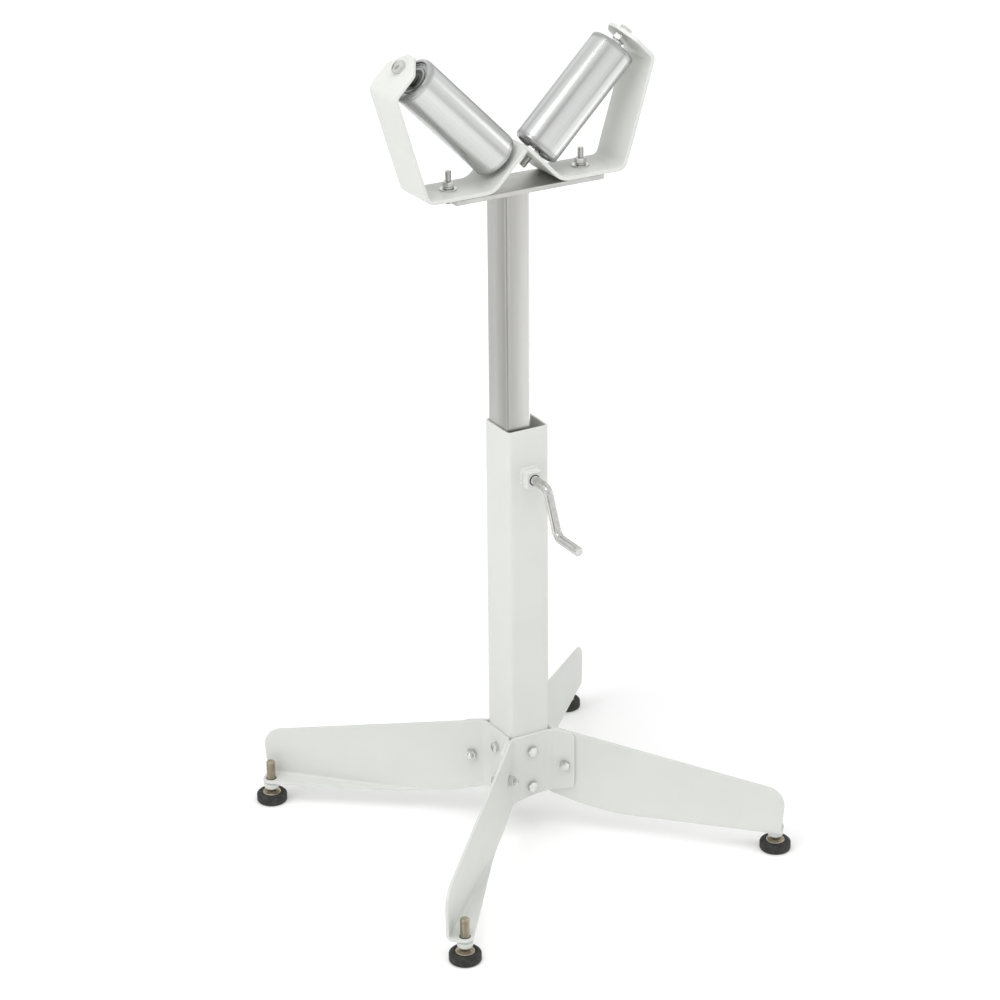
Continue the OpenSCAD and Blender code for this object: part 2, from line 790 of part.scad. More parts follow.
// Sealed ball bearings: two rings and a sunk seal in each face
module roller_bearings(side) {
    bore_r = axle_d / 2 + running_fit;
    outer_r = bearing_d / 2;
    ring = ring_t;
    sunk = seal_inset;
    color(bare_steel) for (end = [0, 1])
        on_axis(side) translate([0, 0, end == 0 ? roller_in + bearing_inset : roller_out - bearing_inset])
            mirror([0, 0, end]) rotate_extrude() polygon([
                [bore_r, 0], [bore_r + ring, 0], [bore_r + ring, sunk], [outer_r - ring, sunk],
                [outer_r - ring, 0], [outer_r, 0], [outer_r, bearing_w], [outer_r - ring, bearing_w],
                [outer_r - ring, bearing_w - sunk], [bore_r + ring, bearing_w - sunk],
                [bore_r + ring, bearing_w], [bore_r, bearing_w]
            ]);
}

column_tube();
clamp_block();
leg(0);  // leg_front
leg(1);  // leg_right
leg(2);  // leg_back
leg(3);  // leg_left
foot_bosses();
column_bolts();
column_nuts();
leg_joint_bolts();
leg_joint_nuts();
foot_stud(0);  // foot_front_stud
foot_pad(0);  // foot_front_pad
foot_stud(1);  // foot_right_stud
foot_pad(1);  // foot_right_pad
foot_stud(2);  // foot_back_stud
foot_pad(2);  // foot_back_pad
foot_stud(3);  // foot_left_stud
foot_pad(3);  // foot_left_pad
mast_tube();
mast_guide();
head_bar();
bracket(-1);  // bracket_left
bracket(1);  // bracket_right
bracket_bolts();
bracket_washers();
bracket_lock_washers();
bracket_nuts();
axle(-1);  // axle_left
axle(1);  // axle_right
axle_nuts();
axle_sleeves();
roller_shell(-1);  // roller_left_shell
roller_cups(-1);  // roller_left_cups
roller_bearings(-1);  // roller_left_bearings
roller_shell(1);  // roller_right_shell
roller_cups(1);  // roller_right_cups
roller_bearings(1);  // roller_right_bearings
clamp_screw();
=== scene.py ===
"""Looks of a pipe roller support, on the frame of its CAD bodies.

Each piece is a parametric surface worked out with whole arrays: a profile carried round a path, a radius as
a function of angle and height, or a flat blank that is bent. Lengths are metres, in the part's own frame:
X along the head bar, Y along the pipe, Z up from the floor.
"""
import math

import bpy
import numpy as np
from mathutils import Matrix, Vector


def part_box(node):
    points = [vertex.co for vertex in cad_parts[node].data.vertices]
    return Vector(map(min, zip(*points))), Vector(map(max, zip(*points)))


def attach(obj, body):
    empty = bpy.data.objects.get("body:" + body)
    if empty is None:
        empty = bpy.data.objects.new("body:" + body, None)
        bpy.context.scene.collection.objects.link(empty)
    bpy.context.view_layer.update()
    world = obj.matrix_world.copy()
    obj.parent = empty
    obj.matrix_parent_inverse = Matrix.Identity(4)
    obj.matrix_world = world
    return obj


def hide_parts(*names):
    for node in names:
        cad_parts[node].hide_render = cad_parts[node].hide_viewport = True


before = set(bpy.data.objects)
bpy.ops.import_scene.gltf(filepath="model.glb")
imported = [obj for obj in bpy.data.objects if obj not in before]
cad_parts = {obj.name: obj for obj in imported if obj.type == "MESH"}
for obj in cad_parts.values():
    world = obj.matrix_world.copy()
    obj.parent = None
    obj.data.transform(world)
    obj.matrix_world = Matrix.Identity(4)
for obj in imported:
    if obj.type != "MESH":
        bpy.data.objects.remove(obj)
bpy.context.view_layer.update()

MM = 0.001
TAU = 2 * math.pi
ROOT_HALF = math.sqrt(0.5)


def span(node):
    """Lowest and highest corner of a CAD node at rest, as arrays."""
    low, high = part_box(node)
    return np.array(low), np.array(high)


# Sizes that the frame gives

COLUMN_LOW, COLUMN_HIGH = span("column_tube")
COLUMN_W = COLUMN_HIGH[0] - COLUMN_LOW[0]
PLATE_Z = COLUMN_LOW[2]
RIM_Z = COLUMN_HIGH[2]
MAST_LOW, MAST_HIGH = span("mast_tube")
BAR_LOW, BAR_HIGH = span("head_bar")
BLOCK_LOW, BLOCK_HIGH = span("clamp_block")
STRIP_Z = BAR_HIGH[2]
STRIP_W = BAR_HIGH[1] - BAR_LOW[1]
PAD_LOW, PAD_HIGH = span("foot_front_pad")
STUD_TOP = span("foot_front_stud")[1][2]
BOSS_Z = span("foot_bosses")[0][2]
LIP_Z = span("foot_bosses")[1][2]
PLATE_TOP = span("leg_front")[1][2]

# Sizes of the bent sheets

SHEET = 4 * MM
SHEET_BEND = 14 * MM
LEG_REACH = 358 * MM
BLADE_END = LIP_Z + 66 * MM
BLADE_CORNER = 29 * MM
PULL_START = 110 * MM
PULL_LEN = 80 * MM
LIP_W = 33.8 * MM
LIP_RISE = 105 * MM
LIP_END = LEG_REACH - 5 * MM
LIP_BEND = 4 * MM
LIP_CORNER = 11 * MM
TAB_LEN = 34 * MM
TAB_CORNER = 7 * MM
TAB_RISE = 8 * MM
TAB_DROP = 4 * MM
FOLD_Z = LIP_Z + SHEET + LIP_BEND
STRIP = 5 * MM
EDGE = 0.9 * MM

# Sizes of the rollers, along their axes from the crossing of the two axes

CROSS = np.array([0, 0, STRIP_Z + 9 * MM])
ROLLER_IN = 39 * MM
ROLLER_OUT = 199 * MM
INNER_BACK = 27 * MM
INNER_FACE = INNER_BACK + STRIP
OUTER_FACE = 214 * MM
OUTER_BACK = OUTER_FACE + STRIP

# How fine the meshes are: the distance under which points are one, and points or rows of a curve

WELD = 0.7e-6
EDGE_POINTS = 5
CORNER_POINTS = 9
HEX_POINTS = 48
THREAD_ROWS = 9
BEAD_POINTS = 10

# Names of the legs, in turn round the column, and of the two sides

LEGS = ("front", "right", "back", "left")
SIDES = {"left": -1, "right": 1}


# Points, faces and objects


def surface(points, wrap_rows=False, wrap_cols=True):
    """Quads over a grid of points, rows by columns, closed round either way where it wraps."""
    rows, cols = points.shape[:2]
    i = np.arange(rows if wrap_rows else rows - 1)[:, None]
    j = np.arange(cols if wrap_cols else cols - 1)[None, :]
    down, along = (i + 1) % rows, (j + 1) % cols
    quads = np.stack([i * cols + j, i * cols + along, down * cols + along, down * cols + j], axis=-1)
    return points.reshape(-1, 3), quads.reshape(-1, 4)


def capped(rows):
    """Sections with a point at the middle of the first and of the last one, which closes both ends."""
    ends = [np.broadcast_to(row.mean(axis=0), row.shape)[None] for row in (rows[0], rows[-1])]
    return np.concatenate([ends[0], rows, ends[1]])


def joined(*shells):
    """Several grids of points and quads as one."""
    starts = np.cumsum([0] + [len(points) for points, _ in shells[:-1]])
    return (
        np.concatenate([points for points, _ in shells]),
        np.concatenate([quads + start for (_, quads), start in zip(shells, starts)]),
    )


def flipped(shell):
    """A grid of points and quads whose faces look the other way."""
    points, quads = shell
    return points, quads[:, ::-1]


def weld(points, quads):
    """One point for all that coincide, so that seams and poles close, with the quads and triangles left."""
    keys = np.round(points / WELD).astype(np.int64)
    _, first, index = np.unique(keys, axis=0, return_index=True, return_inverse=True)
    quads = index.reshape(-1)[quads]
    same = quads == np.roll(quads, -1, axis=1)
    whole = quads[~same.any(axis=1)]
    thin = same.sum(axis=1) == 1
    corner = (same[thin].argmax(axis=1)[:, None] + np.array([1, 2, 3])) % 4
    return points[first], whole, np.take_along_axis(quads[thin], corner, axis=1)


def outward(points, quads, triangles):
    """Turns the faces round where the volume inside them, summed over their triangles, is negative."""
    split = np.concatenate([quads[:, [0, 1, 2]], quads[:, [0, 2, 3]], triangles])
    a, b, c = (points[split[:, k]] for k in range(3))
    if np.einsum("ij,ij->i", a, np.cross(b, c)).sum() < 0:
        return points, quads[:, ::-1], triangles[:, ::-1]
    return points, quads, triangles


def build(name, body, shells, finish, nodes=(), sharp=32.0, even=False):
    """One mesh of closed shells that rides on a body and stands for CAD nodes."""
    points, faces, start = [], [], 0
    for shell in shells:
        corners, quads, triangles = outward(*weld(*shell))
        points.append(corners)
        faces += (quads + start).tolist() + (triangles + start).tolist()
        start += len(corners)
    mesh = bpy.data.meshes.new(name)
    mesh.from_pydata(np.concatenate(points).tolist(), [], faces)
    mesh.shade_smooth()
    mesh.set_sharp_from_angle(angle=math.radians(sharp))
    mesh.materials.append(finish)
    piece = bpy.data.objects.new(name, mesh)
    bpy.context.scene.collection.objects.link(piece)
    if even:
        piece.modifiers.new("even_faces", "WEIGHTED_NORMAL").keep_sharp = True
    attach(piece, body)
    if nodes:
        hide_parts(*nodes)


def stand(origin, axis, turn=0.0):
    """Where a piece made about +Z goes: its foot at origin, its Z along axis, turned about it by degrees."""
    w = np.array(axis, float)
    w /= np.linalg.norm(w)
    u = np.cross([0.0, 1.0, 0.0] if abs(w[1]) < 0.9 else [0.0, 0.0, 1.0], w)
    u /= np.linalg.norm(u)
    v = np.cross(w, u)
    c, s = math.cos(math.radians(turn)), math.sin(math.radians(turn))
    basis = np.array([c * u + s * v, c * v - s * u, w])

    def place(points):
        return points @ basis + np.array(origin)
    return place


# Curves and surfaces


def fillet(corners, radii, closed=False, steps=5):
    """Polyline whose corners are arcs: each turns evenly from one edge to the next about its own centre."""
    corners = np.array(corners, float)
    radii = np.broadcast_to(np.array(radii, float), len(corners))
    out = []
    for i, (q, r) in enumerate(zip(corners, radii)):
        if r <= 0 or (not closed and i in (0, len(corners) - 1)):
            out.append(q[None])
            continue
        u, v = corners[i - 1] - q, corners[(i + 1) % len(corners)] - q
        u, v = u / np.linalg.norm(u), v / np.linalg.norm(v)
        half = math.acos(np.clip(u @ v, -1, 1)) / 2
        centre = q + (u + v) / np.linalg.norm(u + v) * r / math.sin(half)
        a, b = q + u * r / math.tan(half) - centre, q + v * r / math.tan(half) - centre
        turn = math.pi - 2 * half
        f = np.linspace(0, 1, steps + 1)[:, None]
        out.append(centre + (a * np.sin((1 - f) * turn) + b * np.sin(f * turn)) / math.sin(turn))
    return np.concatenate(out)


def lathe(profile, place, n=64, closed=False):
    """Surface of revolution: each radius and height of the profile at n even angles about the axis."""
    r, z = np.array(profile, float).T[:, :, None]
    phi = np.arange(n) * TAU / n
    grid = np.stack([r * np.cos(phi), r * np.sin(phi), z + 0 * phi], axis=-1)
    return surface(place(grid), wrap_rows=closed)


def ring(inner, outer, low, high, corner, place, n):
    """Flat ring: a rectangle of radius and height with round corners, turned about the axis."""
    section = [(inner, low), (outer, low), (outer, high), (inner, high)]
    return lathe(fillet(section, corner, closed=True), place, n, closed=True)


def rounded_rows(width, depth, radius, wall):
    """Rounded rectangles, one for each inset and height in wall: quarter arcs joined by straight sides."""
    inset, z = np.array(wall, float).T[:, :, None]
    quarter = np.linspace(0, math.pi / 2, CORNER_POINTS)
    phi = (np.arange(4)[:, None] * math.pi / 2 + quarter).reshape(-1)
    sign_x = np.repeat([1, -1, -1, 1], CORNER_POINTS)
    sign_y = np.repeat([1, 1, -1, -1], CORNER_POINTS)
    r = np.maximum(radius - inset, 0.0)
    x = sign_x * (width / 2 - inset - r) + r * np.cos(phi)
    y = sign_y * (depth / 2 - inset - r) + r * np.sin(phi)
    return np.stack([x, y, z + 0 * x], axis=-1)


def tube(width, depth, corner, wall, low, high, edges):
    """Square tube: rounded rectangles up the outside, over the rim, down the inside and under the foot."""
    section = fillet([(0, low), (0, high), (wall, high), (wall, low)], edges, closed=True)
    return rounded_rows(width, depth, corner, section)


def slab(width, depth, corner, thick, inset, edges):
    """Plate on its lower face: rounded rectangles that begin drawn in, go round the edge and end drawn in."""
    side = fillet([(inset, 0), (0, 0), (0, thick), (inset, thick)], edges)
    return capped(rounded_rows(width, depth, corner, side))


def hex_radius(phi, flats):
    """Distance from the middle of a hexagon to its side, at an angle."""
    return flats / 2 / np.cos((phi + math.pi / 6) % (math.pi / 3) - math.pi / 6)


CROWN = 0.475
CONE = math.radians(30)
NUT_LEAD = 0.6 * MM


def hexagon(flats, height, place, bore=0.0):
    """Head or nut: a hexagon whose corners a 30 degree cone takes off at the top.

    A bore makes it a nut: a cone takes off the corners at the foot too, and the hole widens at both faces.
    """
    phi = np.arange(HEX_POINTS) * TAU / HEX_POINTS
    side = hex_radius(phi, flats)
    crown = CROWN * flats + 0 * phi
    drop = (side - crown) * math.tan(CONE)
    foot = 0 * phi
    top = height + foot
    if bore:
        hole = bore + foot
        wide = hole + NUT_LEAD
        r = [hole, wide, crown, side, side, crown, wide, hole]
        z = [top - NUT_LEAD, top, top, top - drop, drop, foot, foot, foot + NUT_LEAD]
    else:
        r = [foot, crown, side, side, crown, foot]
        z = [top, top, top - drop, foot, foot, foot]
    r, z = np.array(r), np.array(z)
    return surface(place(np.stack([r * np.cos(phi), r * np.sin(phi), z], axis=-1)), wrap_rows=bool(bore))


THREAD_DEPTH = 0.58
CREST = 0.12


def thread_cut(z, phi, pitch):
    """Share of a thread's depth: a triangle wave of height over pitch less angle over a turn, with flats."""
    wave = np.abs(2 * ((z / pitch - phi / TAU) % 1) - 1)
    return np.clip((wave - CREST) / (1 - 2 * CREST), 0, 1)


def thread(d, pitch, low, high, place, plain=None, lead=1.0 * MM, n=36):
    """Screw: the radius falls by the thread's cut, past a plain stretch if any, and evenly at the tip."""
    z = np.linspace(low, high, int((high - low) / pitch * THREAD_ROWS) + 2)[:, None]
    phi = np.arange(n) * TAU / n
    r = d / 2 - THREAD_DEPTH * pitch * thread_cut(z, phi, pitch)
    if plain is not None:
        r = np.where(z < plain, d / 2, r)
    r = np.minimum(r, np.minimum(d / 2 - lead + (high - z), d / 2))
    grid = np.stack([r * np.cos(phi), r * np.sin(phi), z + 0 * phi], axis=-1)
    return surface(place(capped(grid)))


def bent_path(p, w, steps, start, heading):
    """Point at p along a path of straight runs and round bends, w to its left.

    A step is a run, the angle of the bend after it and the bend's radius. On a bend the point stands off its
    centre by the radius less w, at an angle that grows with p.
    """
    p, w = np.broadcast_arrays(np.asarray(p, float), np.asarray(w, float))
    x, y = np.empty(p.shape), np.empty(p.shape)
    at, done, todo = np.array(start, float), 0.0, np.ones(p.shape, bool)
    for run, angle, r in steps:
        c, s = math.cos(heading), math.sin(heading)
        here = todo if angle == 0 else todo & (p <= done + run)
        x[here] = at[0] + (p[here] - done) * c - w[here] * s
        y[here] = at[1] + (p[here] - done) * s + w[here] * c
        if angle == 0:
            break
        todo = todo & ~here
        at, done = at + run * np.array([c, s]), done + run
        side, arc = math.copysign(1, angle), abs(angle) * r
        here = todo & (p <= done + arc)
        centre = at + side * r * np.array([-s, c])
        a = heading + side * (p[here] - done) / r
        x[here] = centre[0] + side * (r - side * w[here]) * np.sin(a)
        y[here] = centre[1] - side * (r - side * w[here]) * np.cos(a)
        todo = todo & ~here
        heading, done = heading + angle, done + arc
        at = centre + side * r * np.array([math.sin(heading), -math.cos(heading)])
    return x, y


def blank(p, low, high, rows, thick, edge, fold):
    """Bent sheet: a flat blank between two outlines over p, with rounded edges, folded into place.

    Both faces are grids of p by even steps between the outlines. The edge is the blank's rim pushed out along
    its normal and down through the sheet by a quarter arc, a flat and a quarter arc. fold turns along, across
    and through into a place.
    """
    share = np.linspace(0, 1, rows)[:, None]
    across = low + (high - low) * share
    along = np.broadcast_to(p, across.shape)
    rim = np.concatenate([
        np.stack([along[0], across[0]], axis=1)[:-1],
        np.stack([along[:, -1], across[:, -1]], axis=1)[:-1],
        np.stack([along[-1], across[-1]], axis=1)[:0:-1],
        np.stack([along[:, 0], across[:, 0]], axis=1)[:0:-1],
    ])
    step = np.roll(rim, -1, axis=0) - np.roll(rim, 1, axis=0)
    step /= np.linalg.norm(step, axis=1)[:, None]
    normal = np.stack([step[:, 1], -step[:, 0]], axis=1)
    arc = np.linspace(0, math.pi / 2, EDGE_POINTS)
    out = edge * np.concatenate([np.sin(arc), np.cos(arc)])
    through = np.concatenate([thick / 2 - edge + edge * np.cos(arc), -thick / 2 + edge - edge * np.sin(arc)])
    around = rim[None] + normal[None] * out[:, None, None]
    strip = fold(around[..., 0], around[..., 1], np.broadcast_to(through[:, None], around.shape[:2]))
    front, back = (
        surface(fold(along, across, np.full(across.shape, level)), wrap_cols=False)
        for level in (thick / 2, -thick / 2)
    )
    return joined(front, flipped(back), flipped(surface(strip)))


def rounded_end(p, value, slope, end, radius, inset):
    """Outline along a sloping line to an upright end, with a round corner there, all drawn in by inset."""
    lean = math.hypot(1, slope)
    middle = end - radius
    centre = value + slope * (middle - end) - radius * lean
    tangent = middle - (radius - inset) * slope / lean
    line = value + slope * (p - end) - inset * lean
    arc = centre + np.sqrt(np.maximum((radius - inset) ** 2 - (p - middle) ** 2, 0))
    return np.where(p <= tangent, line, arc)


def stretches(marks, counts):
    """Even steps from each mark to the next, as many on each stretch as its count."""
    return np.concatenate([np.linspace(a, b, n) for a, b, n in zip(marks, marks[1:], counts)])


def eased(start, end, n):
    """Steps from start to end that crowd together at the end, by the sine of an even angle."""
    return start + (end - start) * np.sin(np.linspace(0, 1, n) * math.pi / 2)


BEAD_DROP = 1.6 * MM
BEAD_SWELL = 0.16


def bead(path, radius, normal, side):
    """Weld bead: circles along a path, whose radius swells with each drop and shrinks at both ends."""
    length = np.concatenate([[0], np.cumsum(np.linalg.norm(np.diff(path, axis=0), axis=1))])
    r = radius * (1 + BEAD_SWELL * np.abs(np.sin(length / BEAD_DROP * math.pi / 2)))
    r = r * np.sqrt(np.clip(np.minimum(length, length[-1] - length) / (2 * radius), 0.02, 1))
    phi = np.arange(BEAD_POINTS)[:, None] * TAU / BEAD_POINTS
    circle = np.cos(phi) * normal + np.sin(phi) * side
    return surface(capped(path[:, None] + r[:, None, None] * circle))


# Materials


class Val:
    """A socket of a shader tree. Arithmetic on it adds a Math node, node() adds any other."""

    def __init__(self, tree, socket=None):
        self.tree = tree
        self.socket = socket

    def node(self, kind, settings=None, inputs=None, out=0):
        """A node of that kind: its settings first, then values or links for its sockets."""
        node = self.tree.nodes.new("ShaderNode" + kind)
        for key, value in (settings or {}).items():
            setattr(node, key, value)
        for key, value in (inputs or {}).items():
            if isinstance(value, Val):
                self.tree.links.new(value.socket, node.inputs[key])
            else:
                node.inputs[key].default_value = value
        return Val(self.tree, node.outputs[out] if node.outputs else None)

    def math(self, operation, *values):
        return self.node("Math", {"operation": operation}, dict(enumerate(values)))

    def __add__(self, other):
        return self.math("ADD", self, other)

    def __radd__(self, other):
        return self.math("ADD", other, self)

    def __sub__(self, other):
        return self.math("SUBTRACT", self, other)

    def __rmul__(self, other):
        return self.math("MULTIPLY", other, self)

    def __abs__(self):
        return self.math("ABSOLUTE", self)

    def between(self, low, high):
        """0 below low, 1 above high and a smooth step from one to the other."""
        limits = {"Value": self, "From Min": low, "From Max": high}
        return self.node("MapRange", {"interpolation_type": "SMOOTHSTEP"}, limits)

    def blend(self, first, second):
        """Colour that goes from first to second as this value goes from 0 to 1."""
        return self.node("MixRGB", {}, {"Fac": self, "Color1": first, "Color2": second})

    def noise(self, where, scale, detail=2.0, rough=0.5):
        inputs = {"Vector": where, "Scale": scale, "Detail": detail, "Roughness": rough}
        return self.node("TexNoise", {}, inputs)

    def place(self, scale=(1, 1, 1), turn=(0, 0, 0)):
        """Object coordinates, turned and then stretched."""
        where = self.node("TexCoord", out="Object")
        where = self.node("VectorRotate", {"rotation_type": "EULER_XYZ"}, {"Vector": where, "Rotation": turn})
        return self.node("Mapping", {}, {"Vector": where, "Scale": scale})

    def bump(self, height, strength, distance):
        return self.node("Bump", {}, {"Height": height, "Strength": strength, "Distance": distance})


def grey(value, warm=0.0, green=0.0):
    """A colour near grey, a little warmer and a little greener."""
    return (value * (1 + 0.6 * warm - green), value, value * (1 - warm - green), 1.0)


def material(name, recipe):
    """A Principled material. The recipe takes the tree and gives the shader's inputs."""
    made = bpy.data.materials.new(name)
    made.use_nodes = True
    tree = made.node_tree
    tree.nodes.clear()
    root = Val(tree)
    shader = root.node("BsdfPrincipled", {}, recipe(root))
    root.node("OutputMaterial", {}, {"Surface": shader})
    return made


def paint(v):
    """Off-white powder coat: cloudy by a percent or two, with an orange-peel skin."""
    dark, light = (0.690, 0.702, 0.670, 1), (0.712, 0.723, 0.692, 1)
    cloud = v.noise(v.place(), 14.0, 4.0)
    skin = v.noise(v.place(), 420.0, 2.0)
    fleck = v.noise(v.place(), 1500.0, 1.0)
    return {
        "Base Color": cloud.between(0.3, 0.7).blend(dark, light),
        "Roughness": 0.34 + 0.1 * cloud + 0.06 * fleck,
        "Normal": v.bump(skin, 0.10, 0.0004),
        "IOR": 1.5,
    }


def roller_zinc(side):
    """Satin zinc tube: broad soft streaks along its axis, fine turned rings, and painted shade over each
    rolled end.
    """
    middle = CROSS[2] * ROOT_HALF + (ROLLER_IN + ROLLER_OUT) / 2
    half = (ROLLER_OUT - ROLLER_IN) / 2

    def recipe(v):
        turn = (0, -math.radians(45) * side, 0)
        broad = v.noise(v.place((34, 34, 1.2), turn), 1.0, 1.0, 0.4)
        along = v.noise(v.place((240, 240, 2), turn), 1.0, 2.0, 0.5)
        rings = v.noise(v.place((2, 2, 900), turn), 1.0, 3.0, 0.6)
        tone = 0.62 * broad + 0.26 * along + 0.12 * rings
        axial = v.node("SeparateXYZ", {}, {"Vector": v.place(turn=turn)}, out="Z")
        # Painted shade: the base colour darkens in a ring over each rolled end, where the tube curls in to
        # its lip
        reach = abs(axial - middle) + 6 * MM * broad
        painted_end_shade = reach.between(half - 6.5 * MM, half - 1.5 * MM) - 0.6 * reach.between(half, half + 4 * MM)
        body = tone.between(0.30, 0.70).blend(grey(0.55, 0.0, 0.016), grey(0.71, 0.0, 0.012))
        return {
            "Base Color": (0.5 * painted_end_shade).blend(body, grey(0.24, 0.0, 0.012)),
            "Metallic": 1.0,
            "Roughness": 0.20 + 0.12 * broad + 0.06 * along,
            "Normal": v.bump(rings, 0.03, 0.0002),
        }
    return recipe


def bare_steel(v):
    """Drawn steel tube: fine lines and smears along Z, and a painted dark reflection near its front left
    edge.
    """
    lines = v.noise(v.place((900, 900, 6)), 1.0, 3.0, 0.65)
    smear = v.noise(v.place((60, 60, 3)), 1.0, 4.0, 0.6)
    # Painted reflection: the base colour darkens towards the front left corner, where the tube mirrors a dark
    # band
    corner = (MAST_LOW[0], MAST_LOW[1], 0)
    edge = v.node("VectorMath", {"operation": "DISTANCE"}, {0: v.place((1, 1, 0)), 1: corner}, out="Value")
    tone = (0.6 * smear + 0.4 * lines).between(0.25, 0.75)
    near = tone.blend(grey(0.37, 0.03, 0.012), grey(0.44, 0.03, 0.012))
    far = tone.blend(grey(0.55, 0.02, 0.01), grey(0.65, 0.02, 0.01))
    return {
        "Base Color": edge.between(2 * MM, 36 * MM).blend(near, far),
        "Metallic": 1.0,
        "Roughness": 0.30 + 0.16 * lines,
        "Normal": v.bump(lines, 0.08, 0.0002),
    }


def bar_steel(v):
    """Flat bar as rolled and degreased: lines along X and grey patches."""
    lines = v.noise(v.place((8, 700, 700)), 1.0, 3.0, 0.65)
    cloud = v.noise(v.place(), 40.0, 4.0, 0.6)
    tone = (0.5 * cloud + 0.5 * lines).between(0.3, 0.7)
    return {
        "Base Color": tone.blend(grey(0.46, 0.02, 0.01), grey(0.62, 0.02, 0.01)),
        "Metallic": 1.0,
        "Roughness": 0.34 + 0.16 * cloud,
        "Normal": v.bump(lines, 0.08, 0.0002),
    }


def plated(tone, warm, rough):
    """Electroplated fastener: small clouds of tone and gloss."""
    dark, light = grey(tone * 0.88, warm, 0.01), grey(tone * 1.05, warm, 0.01)

    def recipe(v):
        cloud = v.noise(v.place(), 160.0, 3.0, 0.6)
        grain = v.noise(v.place(), 900.0, 2.0)
        return {
            "Base Color": cloud.between(0.3, 0.7).blend(dark, light),
            "Metallic": 1.0,
            "Roughness": rough + 0.10 * cloud,
            "Normal": v.bump(grain, 0.05, 0.0002),
        }
    return recipe


def rubber(v):
    """Black rubber, greyed by dust where the mould left it matt."""
    cloud = v.noise(v.place(), 120.0, 4.0, 0.65)
    grain = v.noise(v.place(), 1400.0, 2.0)
    return {
        "Base Color": cloud.between(0.35, 0.75).blend(grey(0.014, 0.03), grey(0.044, 0.06)),
        "Roughness": 0.62 + 0.2 * cloud,
        "Normal": v.bump(grain, 0.16, 0.0003),
    }


def dull(tone, rough):
    """Plain dark finish with a little grain."""
    def recipe(v):
        cloud = v.noise(v.place(), 220.0, 3.0)
        return {
            "Base Color": cloud.blend(grey(tone * 0.7), grey(tone * 1.3)),
            "Roughness": rough + 0.15 * cloud,
        }
    return recipe


PAINT = material("paint", paint)
ROLLER = {side: material("roller_zinc_" + side, roller_zinc(sign)) for side, sign in SIDES.items()}
STEEL = material("bare_steel", bare_steel)
BAR = material("bar_steel", bar_steel)
ZINC = material("zinc", plated(0.69, 0.02, 0.16))
CRANK = material("crank_zinc", plated(0.60, 0.02, 0.08))
STUD = material("stud_zinc", plated(0.40, 0.20, 0.28))
CUP = material("cup_steel", plated(0.46, -0.01, 0.16))
BEARING = material("bearing_steel", plated(0.14, 0.0, 0.30))
RUBBER = material("rubber", rubber)
NYLON = material("nylon", dull(0.03, 0.5))
# Painted shade: near-black finish of the rings that stand for the shadow in screw holes
SHADE = material("hole_shade", dull(0.02, 0.8))


# Legs

LEG_TURN = math.radians(45)
LEG_TANGENT = (SHEET + SHEET_BEND) * math.tan(LEG_TURN / 2)
CORNER_A = COLUMN_W / math.sqrt(2)
BLADE_A = CORNER_A + LEG_TANGENT
LEG_MID = SHEET_BEND + SHEET / 2
TAB_RUN = CORNER_A + TAB_LEN - BLADE_A
PLATE_RUN = COLUMN_W - 2 * LEG_TANGENT
LEG_STEPS = (
    (TAB_RUN, LEG_TURN, LEG_MID),
    (PLATE_RUN, LEG_TURN, LEG_MID),
    (LEG_REACH - BLADE_A, 0, 0),
)
LEG_FROM = (SHEET / 2, CORNER_A + TAB_LEN)
LEG_ARC = LEG_MID * LEG_TURN
BLADE_P = TAB_RUN + PLATE_RUN + 2 * LEG_ARC
LEG_END = BLADE_P + LEG_REACH - BLADE_A
FOLD_MID = LIP_BEND + SHEET / 2
FOLD_STEPS = ((PLATE_TOP - FOLD_Z, math.radians(90), FOLD_MID), (LIP_W, 0, 0))

# A foot stands at the middle of the round corner of a lip that starts this far out

LIP_START = 130 * MM
LIP_SLOPE = LIP_W / (LIP_END - LIP_START)
FOOT_A = LIP_END - LIP_CORNER
FOOT_N = LIP_SLOPE * (FOOT_A - LIP_START) - LIP_CORNER * math.hypot(1, LIP_SLOPE)


def leg_axes(k):
    """Directions of leg k: out along its diagonal, across towards its lip, and up."""
    angle = math.radians(225 + 90 * k)
    c, s = math.cos(angle), math.sin(angle)
    return np.array([[c, s, 0], [-s, c, 0], [0, 0, 1]])


def drawn_in(p, q):
    """How far the blade is drawn in: nothing at its top, growing evenly down to the fold and outwards."""
    share = np.clip((BLADE_END - q) / (BLADE_END - FOLD_Z - SHEET), 0, 1)
    return (LEG_REACH - LIP_END) * share * np.clip((p - LEG_END + PULL_START) / PULL_LEN, 0, 1)


def leg_fold(k):
    """Fold of leg k: the lip turns across its lower edge, then tab, plate and blade turn along the sheet."""
    axes = leg_axes(k)

    def fold(along, across, through):
        along = along - drawn_in(along, across)
        w, z = bent_path(PLATE_TOP - across, through, FOLD_STEPS, (0, PLATE_TOP), -math.pi / 2)
        a, n = bent_path(along, w, LEG_STEPS, LEG_FROM, -math.pi / 2)
        return np.stack([a, n, z], axis=-1) @ axes
    return fold


